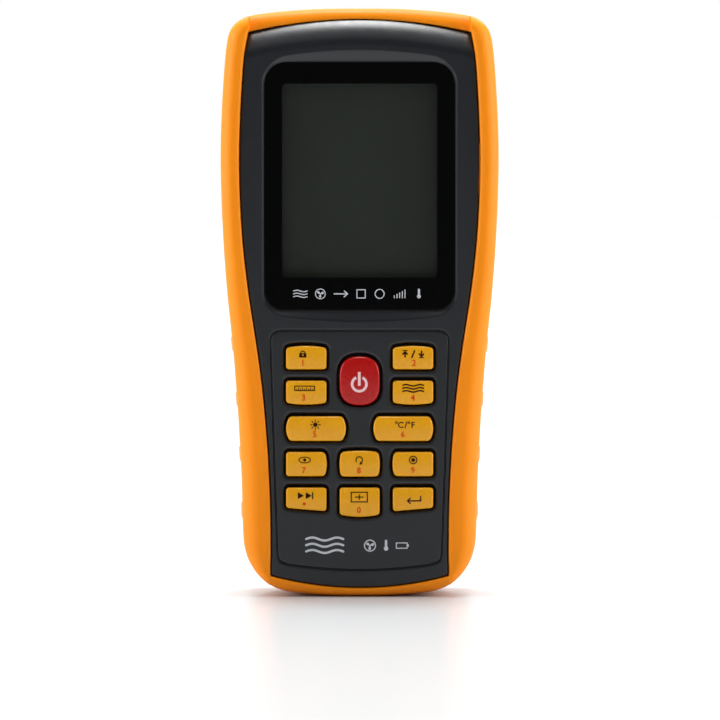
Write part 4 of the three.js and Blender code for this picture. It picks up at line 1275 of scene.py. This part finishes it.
# ------------------------------------------------------------------ battery and screws
lo, hi = mmbox("battery")
gap = 0.02
cell = block("battery_cell", lo[0] + gap, hi[0] - gap, lo[1] + gap, hi[1] - gap, lo[2] + gap, hi[2] - gap, 1.6, "meter", M["can"], 5)
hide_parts("battery")
wrap = block("battery_band", lo[0], hi[0], lo[1], hi[1], lo[2] + 9.0, hi[2] - 3.0, 1.55, "meter", M["battery_wrap"], 5)
for (x, z), tag in zip(WELLS, ("bottom_right", "bottom_left", "top_right", "top_left")):
    prof = [(0.0, 4.06), (0.55, 4.06), (1.7, 3.98), (2.25, 3.7), (2.46, 3.3), (2.5, 2.9), (2.5, 2.1), (1.2, 2.08), (1.2, 0.0)]
    verts_, faces_, n_ = [], [], 48
    for r, yy in prof:
        verts_ += [(x + r * math.cos(2 * math.pi * i / n_), yy, z - r * math.sin(2 * math.pi * i / n_)) for i in range(n_)]
    for k in range(len(prof) - 1):
        for i in range(n_):
            j = (i + 1) % n_
            faces_.append((k * n_ + i, (k + 1) * n_ + i, (k + 1) * n_ + j, k * n_ + j))
    head = make_object("screw_head_" + tag, verts_, faces_, None, M["steel"], sharp=40)
    weld(head, 1e-7)
    for sx_, sz_ in ((1.35, 0.3), (0.3, 1.35)):
        cut(head, cutter(rounded_rect(x, z, 2 * sx_, 2 * sz_, 0.1, 2), 3.1, 5.0, "y"))
    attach(head, ROOT)
    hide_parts("case_screw_" + tag)

# ------------------------------------------------------------------ rating label
label_loop = densify(rounded_rect(0, 108, 40, 42, 2.0, 6), 3.0)
label = relief("rear_label_film", label_loop, [], [], [(x, z) for x in range(-18, 19, 6) for z in range(90, 127, 6)], flat(17.9), ROOT, M["label"], facing=1, wall=0.3)
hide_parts("rear_label")
on_label = flat(17.9)
dark = M["label_ink"]


def ink(name, add, sub=(), at=(0, 0), scale=1.0, mat=None):
    return printed(name, add, list(sub), on_label, ROOT, mat or dark, lift=0.03 if mat is None else 0.07, facing=1, at=at, scale=scale)


ink("label_frame", [rounded_rect(0, 108, 37.4, 39.4, 1.2, 5)], [rounded_rect(0, 108, 36.8, 38.8, 1.0, 5)])
ink("label_head", [rounded_rect(0, 123.2, 34.6, 6.0, 0.8, 4)], [rect(x, x + 0.3, 120.9, 125.5) for x in (-6.0, 5.7)])
ink("label_head_wind", wave(-2.4, 2.4, 1.0, 0.25, 0.34, 1.5) + wave(-2.4, 2.4, 0, 0.25, 0.34, 1.5) + wave(-2.4, 2.4, -1.0, 0.25, 0.34, 1.5), at=(11.6, 123.2), mat=M["label"])
ink("label_head_fan", [disc(0, 0, 1.7, 32)], [disc(0, 0, 1.4, 32)], at=(0, 123.2), mat=M["label"])
ink("label_head_blades", fan(1.05), at=(0, 123.2), mat=M["label"])
ink("label_head_drop", [np.array([[0, 1.9], [0.55, 0.9], [1.05, 0.1], [1.15, -0.5], [0.85, -1.15], [0.3, -1.45], [-0.3, -1.45], [-0.85, -1.15], [-1.15, -0.5], [-1.05, 0.1], [-0.55, 0.9]])], at=(-11.6, 123.0), mat=M["label"])
for i, z in enumerate((117.0, 113.6, 110.2)):
    ink(f"label_row_{i}", [rect(-17.2, 17.2, z - 0.07, z + 0.07)])
    ink(f"label_field_{i}", [rounded_rect(12.4 - 0.6 * i, z + 1.7, 8.0 - 1.2 * i, 0.62, 0.3, 3), rounded_rect(-10.2 + 1.3 * i, z + 1.7, 12.4 - 2.6 * i, 0.62, 0.3, 3)])
# a plain battery drawing with its two poles
ink("label_battery", [rounded_rect(0, 0, 15, 7.4, 0.6, 4), rect(7.5, 8.5, 1.0, 2.6), rect(7.5, 8.5, -2.6, -1.0)], [rounded_rect(0, 0, 14.3, 6.7, 0.4, 4)], at=(0, 102.6))
ink("label_plus", [rect(-0.22, 0.22, -1.1, 1.1), rect(-1.1, 1.1, -0.22, 0.22)], at=(4.6, 104.2))
ink("label_minus", [rect(-1.1, 1.1, -0.22, 0.22)], at=(4.6, 100.9))
ink("label_arrow", path([(-5.4, 0), (1.4, 0)], 0.45) + path([(0.2, 1.1), (1.5, 0), (0.2, -1.1)], 0.45), at=(0, 102.6))
rng = np.random.default_rng(7)
bars, x = [], -13.0
while x < 13.0:
    w = float(rng.choice([0.25, 0.25, 0.45, 0.7]))
    bars.append(rect(x, x + w, -2.0, 2.0))
    x += w + float(rng.choice([0.3, 0.45, 0.7]))
ink("label_bars", bars, at=(0, 93.0))

# ------------------------------------------------------------------ probe socket
sx, sy = SOCK
prof = [(5.0, 147.7), (5.9, 147.7), (6.0, 147.8), (6.0, 161.5), (7.0, 161.5), (7.15, 161.62), (7.2, 161.8), (7.2, 162.8), (7.15, 162.98), (7.0, 163.1), (6.35, 163.1), (6.2, 163.2), (6.15, 163.35),
        (6.15, 164.1), (6.08, 164.3), (5.92, 164.4), (5.3, 164.4), (5.12, 164.33), (5.0, 164.15), (5.0, 147.7)]
shell = lathe("socket_shell", prof, sx, sy, ROOT, M["nickel"], n=120, sharp=32)
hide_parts("probe_socket_shell")
prof = [(0.0, 148.0), (4.7, 148.0), (4.75, 148.1), (4.75, 153.1), (4.6, 153.3), (4.2, 153.4), (4.0, 153.4), (3.92, 153.25), (3.7, 153.25), (3.62, 153.4), (0.0, 153.4)]
insert = lathe("socket_insert", prof, sx, sy, ROOT, M["black"], n=96, sharp=35)
weld(insert, 1e-7)
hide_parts("probe_socket_insert")
for i in range(4):
    a = math.radians(45 + 90 * i)
    prof = [(0.6, 153.0), (0.6, 159.1), (0.56, 159.4), (0.44, 159.64), (0.25, 159.77), (0.0, 159.8)]
    pin = lathe(f"socket_pin_{i}", prof, sx + 2.9 * math.cos(a), sy + 2.9 * math.sin(a), ROOT, M["gold"], n=28, sharp=60)
    weld(pin, 1e-7)
key_rib = block("socket_key_rib", sx - 0.6, sx + 0.6, sy - 4.95, sy - 4.2, 153.2, 160.6, 0.12, ROOT, M["black"])

# ------------------------------------------------------------------ USB socket in the right side
uy, uz = -4.35, 120.0
plate = relief("usb_surround", densify(rounded_rect(uy, uz, 9.2, 13.8, 1.5, 6), 1.0), [densify(rounded_rect(uy, uz, 4.7, 8.7, 1.1, 5), 0.8)],
               [densify(rounded_rect(uy, uz, 5.3, 9.3, 1.4, 5), 0.8)], [], lambda P: -33.3 + round_drop(dist_to_loop(P, rounded_rect(uy, uz, 4.7, 8.7, 1.1, 5))[0], 0.3, 0.2), ROOT, M["housing"], facing=-1, wall=1.2, hole_wall=2.2, turn=True)
um = densify(rounded_rect(-4.3, uz, 3.9, 7.7, 0.8, 5), 0.8)
ui = densify(rounded_rect(-4.3, uz, 3.2, 7.0, 0.55, 5), 0.8)
usb = relief("usb_shell", um, [ui], [offset(um, -0.1), offset(ui, 0.1)], [], lambda P: -31.0 + round_drop(np.minimum(dist_to_loop(P, um)[0], dist_to_loop(P, ui)[0]), 0.1, 0.08), ROOT, M["nickel"], facing=-1, wall=8.2, hole_wall=7.0, turn=True)
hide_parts("usb_socket")
usb_in = relief("usb_backing", offset(ui, 0.05), [], [], [], lambda P: np.full(len(P), -24.2), ROOT, M["black"], facing=-1, wall=0.4, turn=True)
block("usb_tongue", 24.3, 30.3, -4.3 - 0.45, -4.3 + 0.45, uz - 2.7, uz + 2.7, 0.15, ROOT, M["black"])
for i, dz in enumerate((-1.6, -0.8, 0, 0.8, 1.6)):
    block(f"usb_contact_{i}", 24.6, 29.9, -4.3 - 0.56, -4.3 - 0.4, uz + dz - 0.2, uz + dz + 0.2, 0.05, ROOT, M["gold"])
